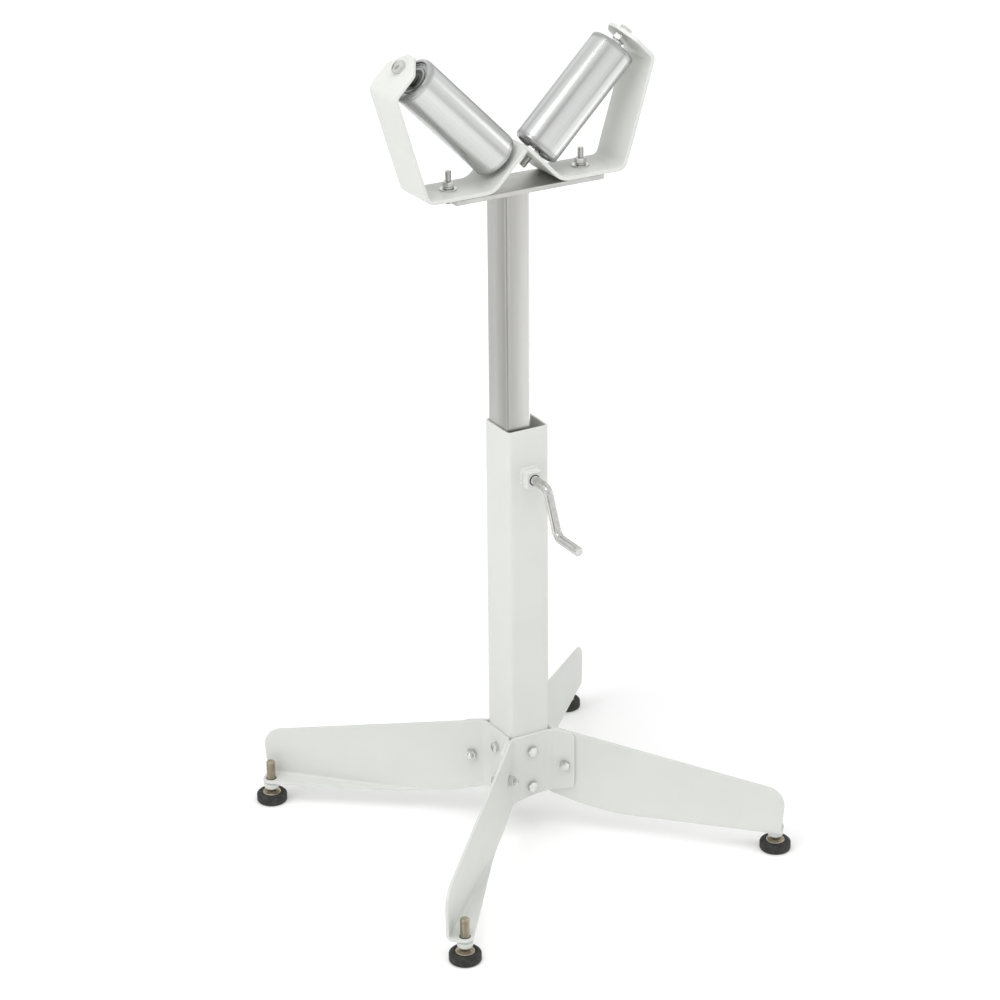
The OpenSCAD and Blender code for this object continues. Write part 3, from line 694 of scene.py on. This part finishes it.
def leg_outline(p, inset):
    """Lower and upper edge of a leg's blank.

    Above: the tab's and the blade's sloping lines, level between them. Below: the tab's rising line, then an
    S curve from the plate down to the fold, a cubic of the distance that ends in the slant of the lip.
    """
    slope = (BLADE_END - PLATE_TOP) / (LEG_REACH - BLADE_A - SHEET)
    top = np.minimum(rounded_end(p, BLADE_END, slope, LEG_END, BLADE_CORNER, inset), PLATE_TOP - inset)
    top = np.minimum(top, rounded_end(-p, PLATE_TOP - TAB_DROP, -TAB_DROP / TAB_RUN, 0, TAB_CORNER, inset))
    a, _ = bent_path(p, 0 * p, LEG_STEPS, LEG_FROM, -math.pi / 2)
    reach = a - drawn_in(p, 0 * p)
    depth = LIP_W - SHEET / 2 + FOLD_MID * (math.pi / 2 - 1)
    slant = depth / (LIP_END - LIP_RISE)
    f = np.clip((a - SHEET) / (LIP_RISE - SHEET), 0, 1)
    fall = (PLATE_Z - FOLD_Z) * (3 - 2 * f) + slant * (LIP_RISE - SHEET) * (f - 1)
    curve = PLATE_Z + inset - f * f * fall
    tab = -rounded_end(-p, -PLATE_Z - TAB_RISE, -TAB_RISE / TAB_RUN, 0, TAB_CORNER, inset)
    lip = FOLD_Z - rounded_end(reach, depth, slant, LIP_END, LIP_CORNER, inset)
    return np.where(reach < LIP_RISE, np.maximum(curve, tab), lip), top


# Steps along a leg's blank, close together at its bends and at both ends

TURN_P = LEG_END - BLADE_CORNER - 4 * MM
LEG_MARKS = (TAB_CORNER, TAB_RUN, TAB_RUN + LEG_ARC, BLADE_P - LEG_ARC, BLADE_P, TURN_P)
LEG_ROWS = 64
LEG_P = np.unique(np.round(np.concatenate([
    TAB_CORNER + EDGE - eased(EDGE, TAB_CORNER, 9),
    stretches(LEG_MARKS, (5, 9, 7, 9, 72)),
    eased(TURN_P, LEG_END - EDGE, 20),
]), 7))

LOW, HIGH = leg_outline(LEG_P, EDGE)
for k, name in enumerate(LEGS):
    sheet = blank(LEG_P, LOW, HIGH, LEG_ROWS, SHEET, EDGE, leg_fold(k))
    build("leg_" + name, "stand", [sheet], PAINT, ["leg_" + name], sharp=40, even=True)

# Levelling feet

STUD_D = 12 * MM
STUD_PITCH = 1.75 * MM
STUD_LEAD = 1.6 * MM
STUD_FOOT = 4 * MM
STUD_HOLE_R = 6.05 * MM
COLLAR_FLATS = 18 * MM
COLLAR_RISE = 3 * MM
FLANGE_R = 12.5 * MM
FLANGE_T = 2.5 * MM
PAD_R = (PAD_HIGH[0] - PAD_LOW[0]) / 2
PAD_TOP = PAD_HIGH[2]
PAD_FOOT_SLANT = 2 * MM
PAD_TOP_SLANT = 3 * MM
PAD_HOLE_R = 12.9 * MM
FLANGE_Z = PAD_TOP - 2 * MM
SEAT_Z = FLANGE_Z + FLANGE_T
BOSS_R = 10 * MM
BOSS_BORE_R = 6.8 * MM
BOSS_FOOT = BOSS_Z + 1.5 * MM
NECK_R = 7.8 * MM
NECK_Z = LIP_Z - 1.8 * MM
SHOULDER_Z = LIP_Z - 2.4 * MM
LIP_HOLE_R = 7.1 * MM
HOLE_IN_R = 5.6 * MM
HOLE_DEEP = 1 * MM
HOLE_PROUD = 0.12 * MM

BOSS_SECTION = fillet([
    (BOSS_BORE_R, BOSS_FOOT), (BOSS_R, BOSS_FOOT), (BOSS_R, SHOULDER_Z),
    (NECK_R, NECK_Z), (NECK_R, LIP_Z), (BOSS_BORE_R, LIP_Z),
], np.array([0.5, 1.4, 0.6, 0.4, 0, 0]) * MM, closed=True)
PAD_SECTION = fillet([
    (0, 0), (PAD_R - PAD_FOOT_SLANT, 0), (PAD_R, PAD_FOOT_SLANT),
    (PAD_R, PAD_TOP - PAD_TOP_SLANT), (PAD_R - PAD_TOP_SLANT, PAD_TOP),
    (PAD_HOLE_R, PAD_TOP), (PAD_HOLE_R, FLANGE_Z),
    (STUD_HOLE_R, FLANGE_Z), (STUD_HOLE_R, STUD_FOOT), (0, STUD_FOOT),
], np.array([0, 1.5, 2, 3, 3, 0.8, 0.4, 0, 0, 0]) * MM)
FLANGE_SECTION = fillet([
    (0, FLANGE_Z), (FLANGE_R, FLANGE_Z), (FLANGE_R, SEAT_Z), (0, SEAT_Z),
], np.array([0, 0.6, 1.4, 0]) * MM)


def hole_shade_ring(radius, level, place):
    """Painted shade of a screw's hole: a flat dark ring from just under a face to just over it."""
    return ring(HOLE_IN_R, radius, level - HOLE_DEEP, level + HOLE_PROUD, 0, place, 48)


bosses, hole_shade_rings = [], []
for k, name in enumerate(LEGS):
    foot = np.array([FOOT_A, FOOT_N, 0]) @ leg_axes(k)
    turn = 20 + 31 * k
    at = stand(foot, (0, 0, 1), turn)
    bosses.append(lathe(BOSS_SECTION, at, closed=True))
    hole_shade_rings.append(hole_shade_ring(LIP_HOLE_R, LIP_Z + SHEET, at))
    build("pad_" + name, "foot_" + name, [lathe(PAD_SECTION, at, 96)], RUBBER, [f"foot_{name}_pad"])
    build("stud_" + name, "foot_" + name, [
        lathe(FLANGE_SECTION, at),
        hexagon(COLLAR_FLATS, PAD_TOP + COLLAR_RISE - SEAT_Z, stand(foot + [0, 0, SEAT_Z], (0, 0, 1), turn)),
        thread(STUD_D, STUD_PITCH, STUD_FOOT, STUD_TOP, at, lead=STUD_LEAD, n=48),
    ], STUD, [f"foot_{name}_stud"])
build("bosses", "stand", bosses, PAINT, ["foot_bosses"])
# Painted shade: dark rings round the studs stand for the shadow in their holes in the lips
build("foot_hole_shade_rings", "stand", hole_shade_rings, SHADE)

# Column and clamp

COLUMN_WALL = 3 * MM
COLUMN_CORNER = 6 * MM
RIM_ROUND = 0.9 * MM
column = tube(COLUMN_W, COLUMN_W, COLUMN_CORNER, COLUMN_WALL, PLATE_Z, RIM_Z, RIM_ROUND)
build("column", "stand", [surface(column, wrap_rows=True)], PAINT, ["column_tube"], even=True)

BLOCK_W = BLOCK_HIGH[0] - BLOCK_LOW[0]
BLOCK_T = BLOCK_HIGH[1] - BLOCK_LOW[1]
BLOCK_CORNER = 1.6 * MM
BLOCK_EDGES = np.array([0, 0, 1.5, 0]) * MM
BLOCK_INSET = 8 * MM
BLOCK_HOLE_R = 7.3 * MM
CLAMP_Z = (BLOCK_LOW[2] + BLOCK_HIGH[2]) / 2
BEAD_R = 2.6 * MM
BEAD_HALF = BLOCK_W / 2 + 1 * MM
on_face = stand((0, -COLUMN_W / 2, CLAMP_Z), (0, -1, 0))
block = on_face(slab(BLOCK_W, BLOCK_W, BLOCK_CORNER, BLOCK_T, BLOCK_INSET, BLOCK_EDGES))
build("clamp_block", "stand", [surface(block)], PAINT, ["clamp_block"], even=True)

welds = []
share = np.linspace(-1, 1, 60)[:, None]
for x, z in ((-1, 0), (1, 0), (0, 1), (0, -1)):
    middle = np.array([x * BLOCK_W / 2, -COLUMN_W / 2, CLAMP_Z + z * BLOCK_W / 2])
    run = np.array([z * BEAD_HALF, 0, x * BEAD_HALF])
    welds.append(bead(middle + share * run, BEAD_R, np.array([abs(x), 0, abs(z)]), np.array([0, -1, 0])))
build("clamp_welds", "stand", welds, PAINT)
# Painted shade: a dark ring round the clamp screw stands for the shadow in the block's hole
build("clamp_hole_shade_ring", "stand", [hole_shade_ring(BLOCK_HOLE_R, BLOCK_T, on_face)], SHADE)

CRANK_R = 6 * MM
CRANK_PITCH = 1.75 * MM
CRANK_CUT = 1 * MM
CRANK_BEND = 14 * MM
CRANK_ANGLE = math.radians(66)
CRANK_TIP = MAST_LOW[1] - 0.3 * MM
CRANK_LEAD = 1.5 * MM
CRANK_REACH = 32 * MM
CRANK_DROP = 57 * MM
CRANK_GRIP = 51 * MM
CRANK_NOSE = 2 * MM
CRANK_POINTS = 40
THREAD_PAST = 5 * MM
FINE_PAST = 8 * MM


def crank():
    """Bent rod: circles along a path of three straight runs, with two equal bends that turn opposite ways.

    The radius falls by the thread's cut as far as a little past the block. It grows evenly from the tip, and
    at the grip's end it follows a quarter circle.
    """
    tangent = CRANK_BEND * math.tan(CRANK_ANGLE / 2)
    face = CRANK_TIP + COLUMN_W / 2 + BLOCK_T
    first = face + CRANK_REACH - tangent
    arm = CRANK_DROP / math.sin(CRANK_ANGLE) - 2 * tangent
    grip = CRANK_GRIP - tangent
    bend = CRANK_ANGLE * CRANK_BEND
    steps = ((first, CRANK_ANGLE, CRANK_BEND), (arm, -CRANK_ANGLE, CRANK_BEND), (grip, 0, 0))
    length = first + arm + grip + 2 * bend
    nose = length - CRANK_NOSE
    marks = (
        0, CRANK_LEAD, face + FINE_PAST, first, first + bend,
        first + bend + arm, first + arm + 2 * bend, nose,
    )
    rows = [stretches(marks, (4, 320, 6, 22, 8, 22, 8)), eased(nose, length, 8)]
    p = np.unique(np.concatenate(rows))[:, None]
    phi = np.arange(CRANK_POINTS) * TAU / CRANK_POINTS
    r = CRANK_R - CRANK_CUT * thread_cut(p, phi, CRANK_PITCH) * (p < face + THREAD_PAST)
    r = np.minimum(r, CRANK_R - np.maximum(CRANK_LEAD - p, 0))
    quarter = np.sqrt(np.maximum(CRANK_NOSE ** 2 - np.maximum(p - nose, 0) ** 2, 0))
    r = np.minimum(r, CRANK_R - CRANK_NOSE + quarter)
    along, up = bent_path(p + 0 * phi, r * np.cos(phi), steps, (0, 0), 0.0)
    return surface(capped(np.stack([r * np.sin(phi), CRANK_TIP - along, CLAMP_Z - up], axis=-1)))


build("clamp_screw", "clamp_screw", [crank()], CRANK, ["clamp_screw"])

# Mast and head bar

MAST_MID = (MAST_LOW + MAST_HIGH) / 2
MAST_W, MAST_D = (MAST_HIGH - MAST_LOW)[:2]
MAST_WALL = 3 * MM
MAST_CORNER = 5 * MM
MAST_EDGES = np.array([0.6, 0.2, 0.2, 0.6]) * MM
mast = tube(MAST_W, MAST_D, MAST_CORNER, MAST_WALL, MAST_LOW[2], MAST_HIGH[2], MAST_EDGES)
mast = mast + [MAST_MID[0], MAST_MID[1], 0]
build("mast", "mast", [surface(mast, wrap_rows=True)], STEEL, ["mast_tube"], even=True)

BAR_LEN = BAR_HIGH[0] - BAR_LOW[0]
BAR_T = BAR_HIGH[2] - BAR_LOW[2]
BAR_CORNER = 1.2 * MM
BAR_EDGE = 0.7 * MM
BAR_INSET = 9 * MM
bar = slab(BAR_LEN, STRIP_W, BAR_CORNER, BAR_T, BAR_INSET, BAR_EDGE)
bar = bar + [(BAR_LOW + BAR_HIGH)[0] / 2, 0, BAR_LOW[2]]
build("head_bar", "mast", [surface(bar)], BAR, ["head_bar"], even=True)

# V brackets

APEX_X = 0.3 * MM
LEAN = math.radians(17)
CROSS_RISE = CROSS[2] - STRIP_Z
INNER_X = INNER_BACK * math.sqrt(2) + CROSS_RISE
OUTER_LINE = OUTER_BACK * math.sqrt(2) + CROSS_RISE
BRACKET_HALF = 139 * MM
OUTER_LEG = (OUTER_LINE - BRACKET_HALF) / (math.sin(LEAN) + math.cos(LEAN))
UPPER_X = BRACKET_HALF + OUTER_LEG * math.sin(LEAN)
BENDS = ((math.radians(45), 22 * MM), (math.radians(90) - LEAN, 9 * MM), (math.radians(45) + LEAN, 7 * MM))
TANGENTS = [(r + STRIP) * math.tan(angle / 2) for angle, r in BENDS]
FLANGE_PAST = 20 * MM
FLANGE_LEN = UPPER_X * math.sqrt(2) - OUTER_BACK + FLANGE_PAST
TONGUE = 20 * MM
TIP_W = 16 * MM
TIP_CORNER = 4 * MM
SHOULDER_EASE = 2 * MM
RUNS = (
    (INNER_X - APEX_X) * math.sqrt(2) - TANGENTS[0],
    BRACKET_HALF - INNER_X - TANGENTS[0] - TANGENTS[1],
    OUTER_LEG - TANGENTS[1] - TANGENTS[2],
    FLANGE_LEN - TANGENTS[2],
)
BRACKET_STEPS = [(run, angle, r + STRIP / 2) for run, (angle, r) in zip(RUNS, BENDS)] + [(RUNS[3], 0, 0)]
BRACKET_MARKS = np.cumsum([0] + [x for run, angle, r in BRACKET_STEPS for x in (run, angle * r)])[:-1]
BRACKET_END = BRACKET_MARKS[-1]


def bracket_fold(sign):
    """Fold of a bracket: the strip turns up at each bend in the XZ plane, mirrored for the left one."""
    corner = np.array([APEX_X, STRIP_Z + INNER_X - APEX_X]) + STRIP / 2 * ROOT_HALF

    def fold(along, across, through):
        x, z = bent_path(along, through, BRACKET_STEPS, corner, -math.pi / 4)
        return np.stack([sign * x, across, z], axis=-1)
    return fold


def bracket_outline(p, inset):
    """Half width of a bracket's blank: level, then a tongue with an eased shoulder and a rounded tip."""
    slope = (TIP_W - STRIP_W) / 2 / TONGUE
    taper = rounded_end(p, TIP_W / 2, slope, BRACKET_END, TIP_CORNER, inset)
    level = STRIP_W / 2 - inset
    return (taper + level - np.sqrt((taper - level) ** 2 + SHOULDER_EASE ** 2)) / 2


# Steps along a bracket's blank, close together at its bends, at its shoulder and at its tip

SHOULDER_P = BRACKET_END - TONGUE - 6 * MM
TIP_P = BRACKET_END - 5 * MM
BRACKET_ROWS = 14
BRACKET_P = np.unique(np.round(np.concatenate([
    stretches((EDGE, *BRACKET_MARKS[1:7], SHOULDER_P, TIP_P), (6, 15, 8, 15, 8, 15, 6, 24)),
    eased(TIP_P, BRACKET_END - EDGE, 12),
]), 7))

WIDE = bracket_outline(BRACKET_P, EDGE)
for name, sign in SIDES.items():
    strip = blank(BRACKET_P, -WIDE, WIDE, BRACKET_ROWS, STRIP, EDGE, bracket_fold(sign))
    build("bracket_" + name, "mast", [strip], PAINT, ["bracket_" + name], sharp=40, even=True)

# Bolts, washers and nuts

BOLT = 8 * MM
BOLT_FLATS = 13 * MM
BOLT_HEAD = 5.3 * MM
BOLT_PITCH = 1.25 * MM
NUT = 6.8 * MM
NUT_BORE_R = 3.9 * MM
WASHER_IN_R = 4.4 * MM
WASHER_OUT_R = 11 * MM
WASHER_T = 2 * MM
WASHER_EDGE = 0.45 * MM
WASHER_Z = STRIP_Z + STRIP
LOCK_OUT_R = 7.2 * MM
LOCK_T = 2.2 * MM
LOCK_CLIMB = 0.2 * MM
LOCK_EDGE = 0.4 * MM
LOCK_GAP = 0.08
BRACKET_BOLT_X = 93 * MM
BRACKET_BOLT_LEN = 35 * MM
COLUMN_BOLTS_UP = (14 * MM, 66 * MM)
COLUMN_BOLT_LEN = SHEET + COLUMN_WALL + NUT + 2.5 * MM
JOINT_BOLT_LEN = 2 * SHEET + NUT + 5 * MM
JOINT_OUT = CORNER_A + 21.5 * MM
JOINT_UP = 40 * MM


def bolt(base, out, turn, length, n=36):
    """Hex bolt: its head stands on base along out, turned by degrees, and its thread runs the other way."""
    out = np.array(out)
    return [
        hexagon(BOLT_FLATS, BOLT_HEAD, stand(base, out, turn)),
        thread(BOLT, BOLT_PITCH, 0, length, stand(base, -out), n=n),
    ]


def lock_washer(place):
    """Split ring: a rounded square section carried round its bolt, climbing a little, with a gap."""
    low, high = LOCK_CLIMB, LOCK_T - LOCK_CLIMB
    corners = [(WASHER_IN_R, low), (LOCK_OUT_R, low), (LOCK_OUT_R, high), (WASHER_IN_R, high)]
    phi = np.linspace(LOCK_GAP, TAU - LOCK_GAP, 49)[:, None]
    r, z = fillet(corners, LOCK_EDGE, closed=True).T[:, None, :]
    z = z + LOCK_CLIMB * (phi / math.pi - 1)
    return surface(place(capped(np.stack([r * np.cos(phi), r * np.sin(phi), z + 0 * phi], axis=-1))))


# Heads and nuts stop at uneven angles, as they do when they are tightened

bolts, washers, locks, nuts = [], [], [], []
for sign, turn in ((-1, 12), (1, 41)):
    x = sign * BRACKET_BOLT_X
    on_strip = stand((x, 0, WASHER_Z), (0, 0, 1))
    on_washer = stand((x, 0, WASHER_Z + WASHER_T), (0, 0, 1), turn)
    on_lock = stand((x, 0, WASHER_Z + WASHER_T + LOCK_T), (0, 0, 1), turn + 17)
    bolts += bolt((x, 0, BAR_LOW[2]), (0, 0, -1), turn, BRACKET_BOLT_LEN)
    washers.append(ring(WASHER_IN_R, WASHER_OUT_R, 0, WASHER_T, WASHER_EDGE, on_strip, 64))
    locks.append(lock_washer(on_washer))
    nuts.append(hexagon(BOLT_FLATS, NUT, on_lock, NUT_BORE_R))
build("bracket_bolts", "mast", bolts, ZINC, ["bracket_bolts"])
build("bracket_washers", "mast", washers, ZINC, ["bracket_washers"])
build("bracket_lock_washers", "mast", locks, ZINC, ["bracket_lock_washers"])
build("bracket_nuts", "mast", nuts, ZINC, ["bracket_nuts"])

bolts = []
for k in range(4):
    angle = math.radians(90 * k)
    out = np.array([math.sin(angle), -math.cos(angle), 0])
    for i, up in enumerate(COLUMN_BOLTS_UP):
        base = out * (COLUMN_W / 2 + SHEET) + [0, 0, PLATE_Z + up]
        bolts += bolt(base, out, 9 + 23 * k + 14 * i, COLUMN_BOLT_LEN, n=24)
build("column_bolts", "stand", bolts, ZINC, ["column_bolts"])

bolts, nuts = [], []
for k in range(4):
    axes = leg_axes(k)
    under_head = np.array([JOINT_OUT, -SHEET, PLATE_Z + JOINT_UP]) @ axes
    under_nut = np.array([JOINT_OUT, SHEET, PLATE_Z + JOINT_UP]) @ axes
    bolts += bolt(under_head, -axes[1], 7 + 19 * k, JOINT_BOLT_LEN)
    nuts.append(hexagon(BOLT_FLATS, NUT, stand(under_nut, axes[1], 25 + 13 * k), NUT_BORE_R))
build("leg_joint_bolts", "stand", bolts, ZINC, ["leg_joint_bolts"])
build("leg_joint_nuts", "stand", nuts, ZINC, ["leg_joint_nuts"])

# Rollers and axles

AXLE = 10 * MM
AXLE_FLATS = 16 * MM
AXLE_HEAD = 6.4 * MM
AXLE_PITCH = 1.5 * MM
AXLE_LEN = OUTER_BACK - INNER_BACK + 14 * MM
AXLE_PLAIN = OUTER_BACK - INNER_BACK - 30 * MM
AXLE_NUT = 8 * MM
AXLE_NUT_BORE_R = 4.9 * MM
SLEEVE_IN_R = 5 * MM
SLEEVE_OUT_R = 7 * MM
SLEEVE_DEEP = 3.7 * MM
RING_EDGE = 0.4 * MM
BEARING_BACK = 12.5 * MM
CUP_EDGE = 0.5 * MM

# Sections as radius and depth from a roller's end: the tube's rolled end, its corners' radii, and the cup

ROLLED_END = np.array([[27, 6], [24.4, 3.4], [24.4, 0], [30, 0], [30, 6.2], [29.75, 6.8], [30, 7.4]]) * MM
ROLLED_ROUND = np.array([0.5, 0.6, 0.8, 4.6, 0.3, 0.3, 0.3]) * MM
CUP_SECTION = fillet(np.array([
    [15, 3.4], [17.6, 3.4], [18.2, 5.2], [21.8, 4.6], [22.2, 2.4], [23.9, 2.4],
    [23.9, 13], [22.6, 13], [22.6, 6.6], [17, 7], [17, 13], [15, 13],
]) * MM, CUP_EDGE, closed=True)

# Outer ring, seal and inner ring of a bearing: inner radius, outer radius and depth of the face

BEARING_RINGS = np.array([[12.5, 15.0, 4.0], [8.2, 12.4, 4.6], [5.0, 8.1, 4.0]]) * MM


def roller_profile():
    """Half section of a roller's tube: both ends rolled inwards to a lip, a faint crease behind each roll."""
    low = ROLLED_END + [0, ROLLER_IN]
    high = ROLLED_END[::-1] * [1, -1] + [0, ROLLER_OUT]
    turn = np.concatenate([ROLLED_ROUND, ROLLED_ROUND[::-1]])
    return fillet(np.concatenate([low, high]), turn, closed=True, steps=8)


nuts, sleeves = [], []
for name, sign in SIDES.items():
    axis = np.array([sign * ROOT_HALF, 0, ROOT_HALF])
    at = stand(CROSS, axis)
    shell = lathe(roller_profile(), at, 160, closed=True)
    build("roller_" + name, "roller_" + name, [shell], ROLLER[name], [f"roller_{name}_shell"])
    cups, rings = [], []
    for end, inwards in ((ROLLER_IN, axis), (ROLLER_OUT, -axis)):
        inside = stand(CROSS + axis * end, inwards)
        cups.append(lathe(CUP_SECTION, inside, 96, closed=True))
        for low, high, depth in BEARING_RINGS:
            rings.append(ring(low, high, depth, BEARING_BACK, RING_EDGE, inside, 64))
    build(f"roller_{name}_cups", "roller_" + name, cups, CUP, [f"roller_{name}_cups"])
    build(f"roller_{name}_bearings", "roller_" + name, rings, BEARING,
          [f"roller_{name}_bearings"])
    under_head = CROSS + axis * OUTER_BACK
    build("axle_" + name, "mast", [
        hexagon(AXLE_FLATS, AXLE_HEAD, stand(under_head, axis, 18)),
        thread(AXLE, AXLE_PITCH, 0, AXLE_LEN, stand(under_head, -axis), plain=AXLE_PLAIN),
    ], ZINC, ["axle_" + name])
    for s in (INNER_FACE, OUTER_FACE - AXLE_NUT):
        seat = stand(CROSS + axis * s, axis, 11 + 20 * sign)
        nuts.append(hexagon(AXLE_FLATS, AXLE_NUT, seat, AXLE_NUT_BORE_R))
    inner = (INNER_FACE + AXLE_NUT, ROLLER_IN + SLEEVE_DEEP)
    outer = (ROLLER_OUT - SLEEVE_DEEP, OUTER_FACE - AXLE_NUT)
    for low, high in (inner, outer):
        sleeves.append(ring(SLEEVE_IN_R, SLEEVE_OUT_R, low, high, RING_EDGE, at, 48))
build("axle_nuts", "mast", nuts, ZINC, ["axle_nuts"])
build("axle_sleeves", "mast", sleeves, ZINC, ["axle_sleeves"])

# Pieces that keep their CAD shape

for node, finish in (("column_nuts", ZINC), ("mast_guide", NYLON)):
    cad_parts[node].data.materials.clear()
    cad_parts[node].data.materials.append(finish)


# Studio: pale floor, soft light, dark and light cards that show only in reflections, and the camera


def card(name, corners, finish):
    """A flat four-cornered sheet of the studio."""
    mesh = bpy.data.meshes.new(name)
    mesh.from_pydata([tuple(c) for c in corners], [], [(0, 1, 2, 3)])
    mesh.materials.append(finish)
    made = bpy.data.objects.new(name, mesh)
    bpy.context.scene.collection.objects.link(made)
    return made


def floor_finish(v):
    """White paper with a glow of its own that grows where the lamps fade, so that it is white all over."""
    far = v.node("VectorMath", {"operation": "LENGTH"}, {0: v.place()}, out="Value").between(0.2, 3.0)
    return {
        "Base Color": grey(0.93),
        "Roughness": 0.9,
        "Specular IOR Level": 0.1,
        "Emission Strength": 1.0,
        "Emission Color": far.blend(grey(0.17), grey(0.58)),
    }


def sheen_finish(glow):
    """Card for reflections: darker than the studio where it glows by less than 1, else a soft light."""
    def recipe(v):
        return {
            "Base Color": grey(0.0),
            "Roughness": 1.0,
            "Specular IOR Level": 0.0,
            "Emission Color": grey(1.0),
            "Emission Strength": glow,
        }
    return recipe


def sheen(name, aim, toward, distance, width, height, glow):
    """A card that shows only in reflections, at a distance from aim in a direction, and facing aim."""
    toward = np.array(toward, float) / np.linalg.norm(toward)
    across = np.cross([0, 0, 1.0], toward)
    across /= np.linalg.norm(across)
    upright = np.cross(toward, across)
    middle = np.array(aim) + distance * toward
    right, up = width / 2 * across, height / 2 * upright
    corners = [middle - right - up, middle + right - up, middle + right + up, middle - right + up]
    made = card(name, corners, material(name, sheen_finish(glow)))
    made.visible_camera = made.visible_diffuse = made.visible_shadow = False


FLOOR = 14
HEAD = (0, 0, 1.0)
MAST_FACE = (-0.03, 0, 0.70)
floor_corners = [(-FLOOR, -FLOOR, 0), (FLOOR, -FLOOR, 0), (FLOOR, FLOOR, 0), (-FLOOR, FLOOR, 0)]
card("floor", floor_corners, material("floor", floor_finish))
sheen("sheen_left", HEAD, (-0.68, -0.06, 0.72), 3.0, 0.60, 0.8, 7.0)
sheen("sheen_right", HEAD, (0.94, -0.27, 0.10), 3.0, 0.8, 0.5, 2.6)
sheen("shade_right", HEAD, (0.80, 0.60, -0.02), 3.0, 1.8, 0.9, 0.35)
sheen("shade_behind", HEAD, (-0.10, 0.98, 0.10), 3.0, 1.6, 1.0, 0.40)
sheen("shade_front", HEAD, (-0.48, -0.66, 0.58), 3.0, 0.9, 0.9, 0.45)
sheen("shade_corner", MAST_FACE, (-0.80, -0.45, -0.398), 1.4, 0.9, 1.2, 0.30)
sheen("shade_low", HEAD, (0.60, -0.76, -0.22), 3.0, 1.0, 0.8, 0.50)
sheen("shade_back_left", HEAD, (-0.50, 0.68, 0.54), 3.0, 0.9, 0.9, 0.40)
sheen("sheen_low", HEAD, (0.72, -0.10, -0.66), 1.3, 0.8, 0.6, 1.9)
sheen("shade_mast", MAST_FACE, (-0.449, 0.80, -0.398), 1.4, 1.4, 1.2, 0.80)

# The world is white to the camera and in reflections, and lights the object less

AMBIENT = 0.46
world = bpy.data.worlds.new("studio")
bpy.context.scene.world = world
world.use_nodes = True
world.node_tree.nodes.clear()
v = Val(world.node_tree)
seen = v.node("LightPath", out="Is Camera Ray")
for ray in ("Is Glossy Ray", "Is Transmission Ray"):
    seen = v.math("MAXIMUM", seen, v.node("LightPath", out=ray))
light = v.node("Background", {}, {"Color": grey(1.0), "Strength": AMBIENT + (1 - AMBIENT) * seen})
v.node("OutputWorld", {}, {"Surface": light})


LAMP_AIM = (0, 0, 0.5)
LAMP_SIZE = 3.0


def turned(right, up, back, place):
    """The matrix that puts an object at a place, with its own axes along three directions."""
    matrix = np.eye(4)
    matrix[:3, :3] = np.stack([right, up, back], axis=1)
    matrix[:3, 3] = place
    return Matrix(matrix.tolist())


def lamp(name, place, power):
    """A square soft light at a place, turned towards the object's middle and left out of reflections."""
    data = bpy.data.lights.new(name, "AREA")
    data.shape, data.size, data.energy = "SQUARE", LAMP_SIZE, power
    made = bpy.data.objects.new(name, data)
    bpy.context.scene.collection.objects.link(made)
    back = np.array(place, float) - np.array(LAMP_AIM, float)
    back /= np.linalg.norm(back)
    right = np.cross([0, 0, 1.0], back)
    right /= np.linalg.norm(right)
    made.matrix_world = turned(right, np.cross(back, right), back, place)
    made.visible_glossy = False


lamp("key", (-3.0, -0.6, 3.0), 52)
lamp("fill", (2.4, -2.4, 2.6), 22)
lamp("top", (-0.5, -0.9, 3.8), 58)

# Camera at the photograph's viewing angle

AZIMUTH, ELEVATION, ROLL = math.radians(-29.32), math.radians(23.43), math.radians(-0.68)
TARGET = np.array([-52.44, -3.87, 500.67]) * MM
DISTANCE = 3759.15 * MM
back = np.array([
    math.sin(AZIMUTH) * math.cos(ELEVATION),
    -math.cos(AZIMUTH) * math.cos(ELEVATION),
    math.sin(ELEVATION),
])
right = np.array([math.cos(AZIMUTH), math.sin(AZIMUTH), 0])
up = np.cross(back, right)
right, up = (
    math.cos(ROLL) * right + math.sin(ROLL) * up,
    math.cos(ROLL) * up - math.sin(ROLL) * right,
)
lens = bpy.data.cameras.new("camera")
lens.sensor_width = 36
lens.lens = 107.22
lens.shift_x, lens.shift_y = 0.01728, -0.01099
lens.clip_end = 100
camera = bpy.data.objects.new("camera", lens)
camera.matrix_world = turned(right, up, back, TARGET + DISTANCE * back)
bpy.context.scene.collection.objects.link(camera)
bpy.context.scene.camera = camera
bpy.context.scene.view_settings.view_transform = "Standard"
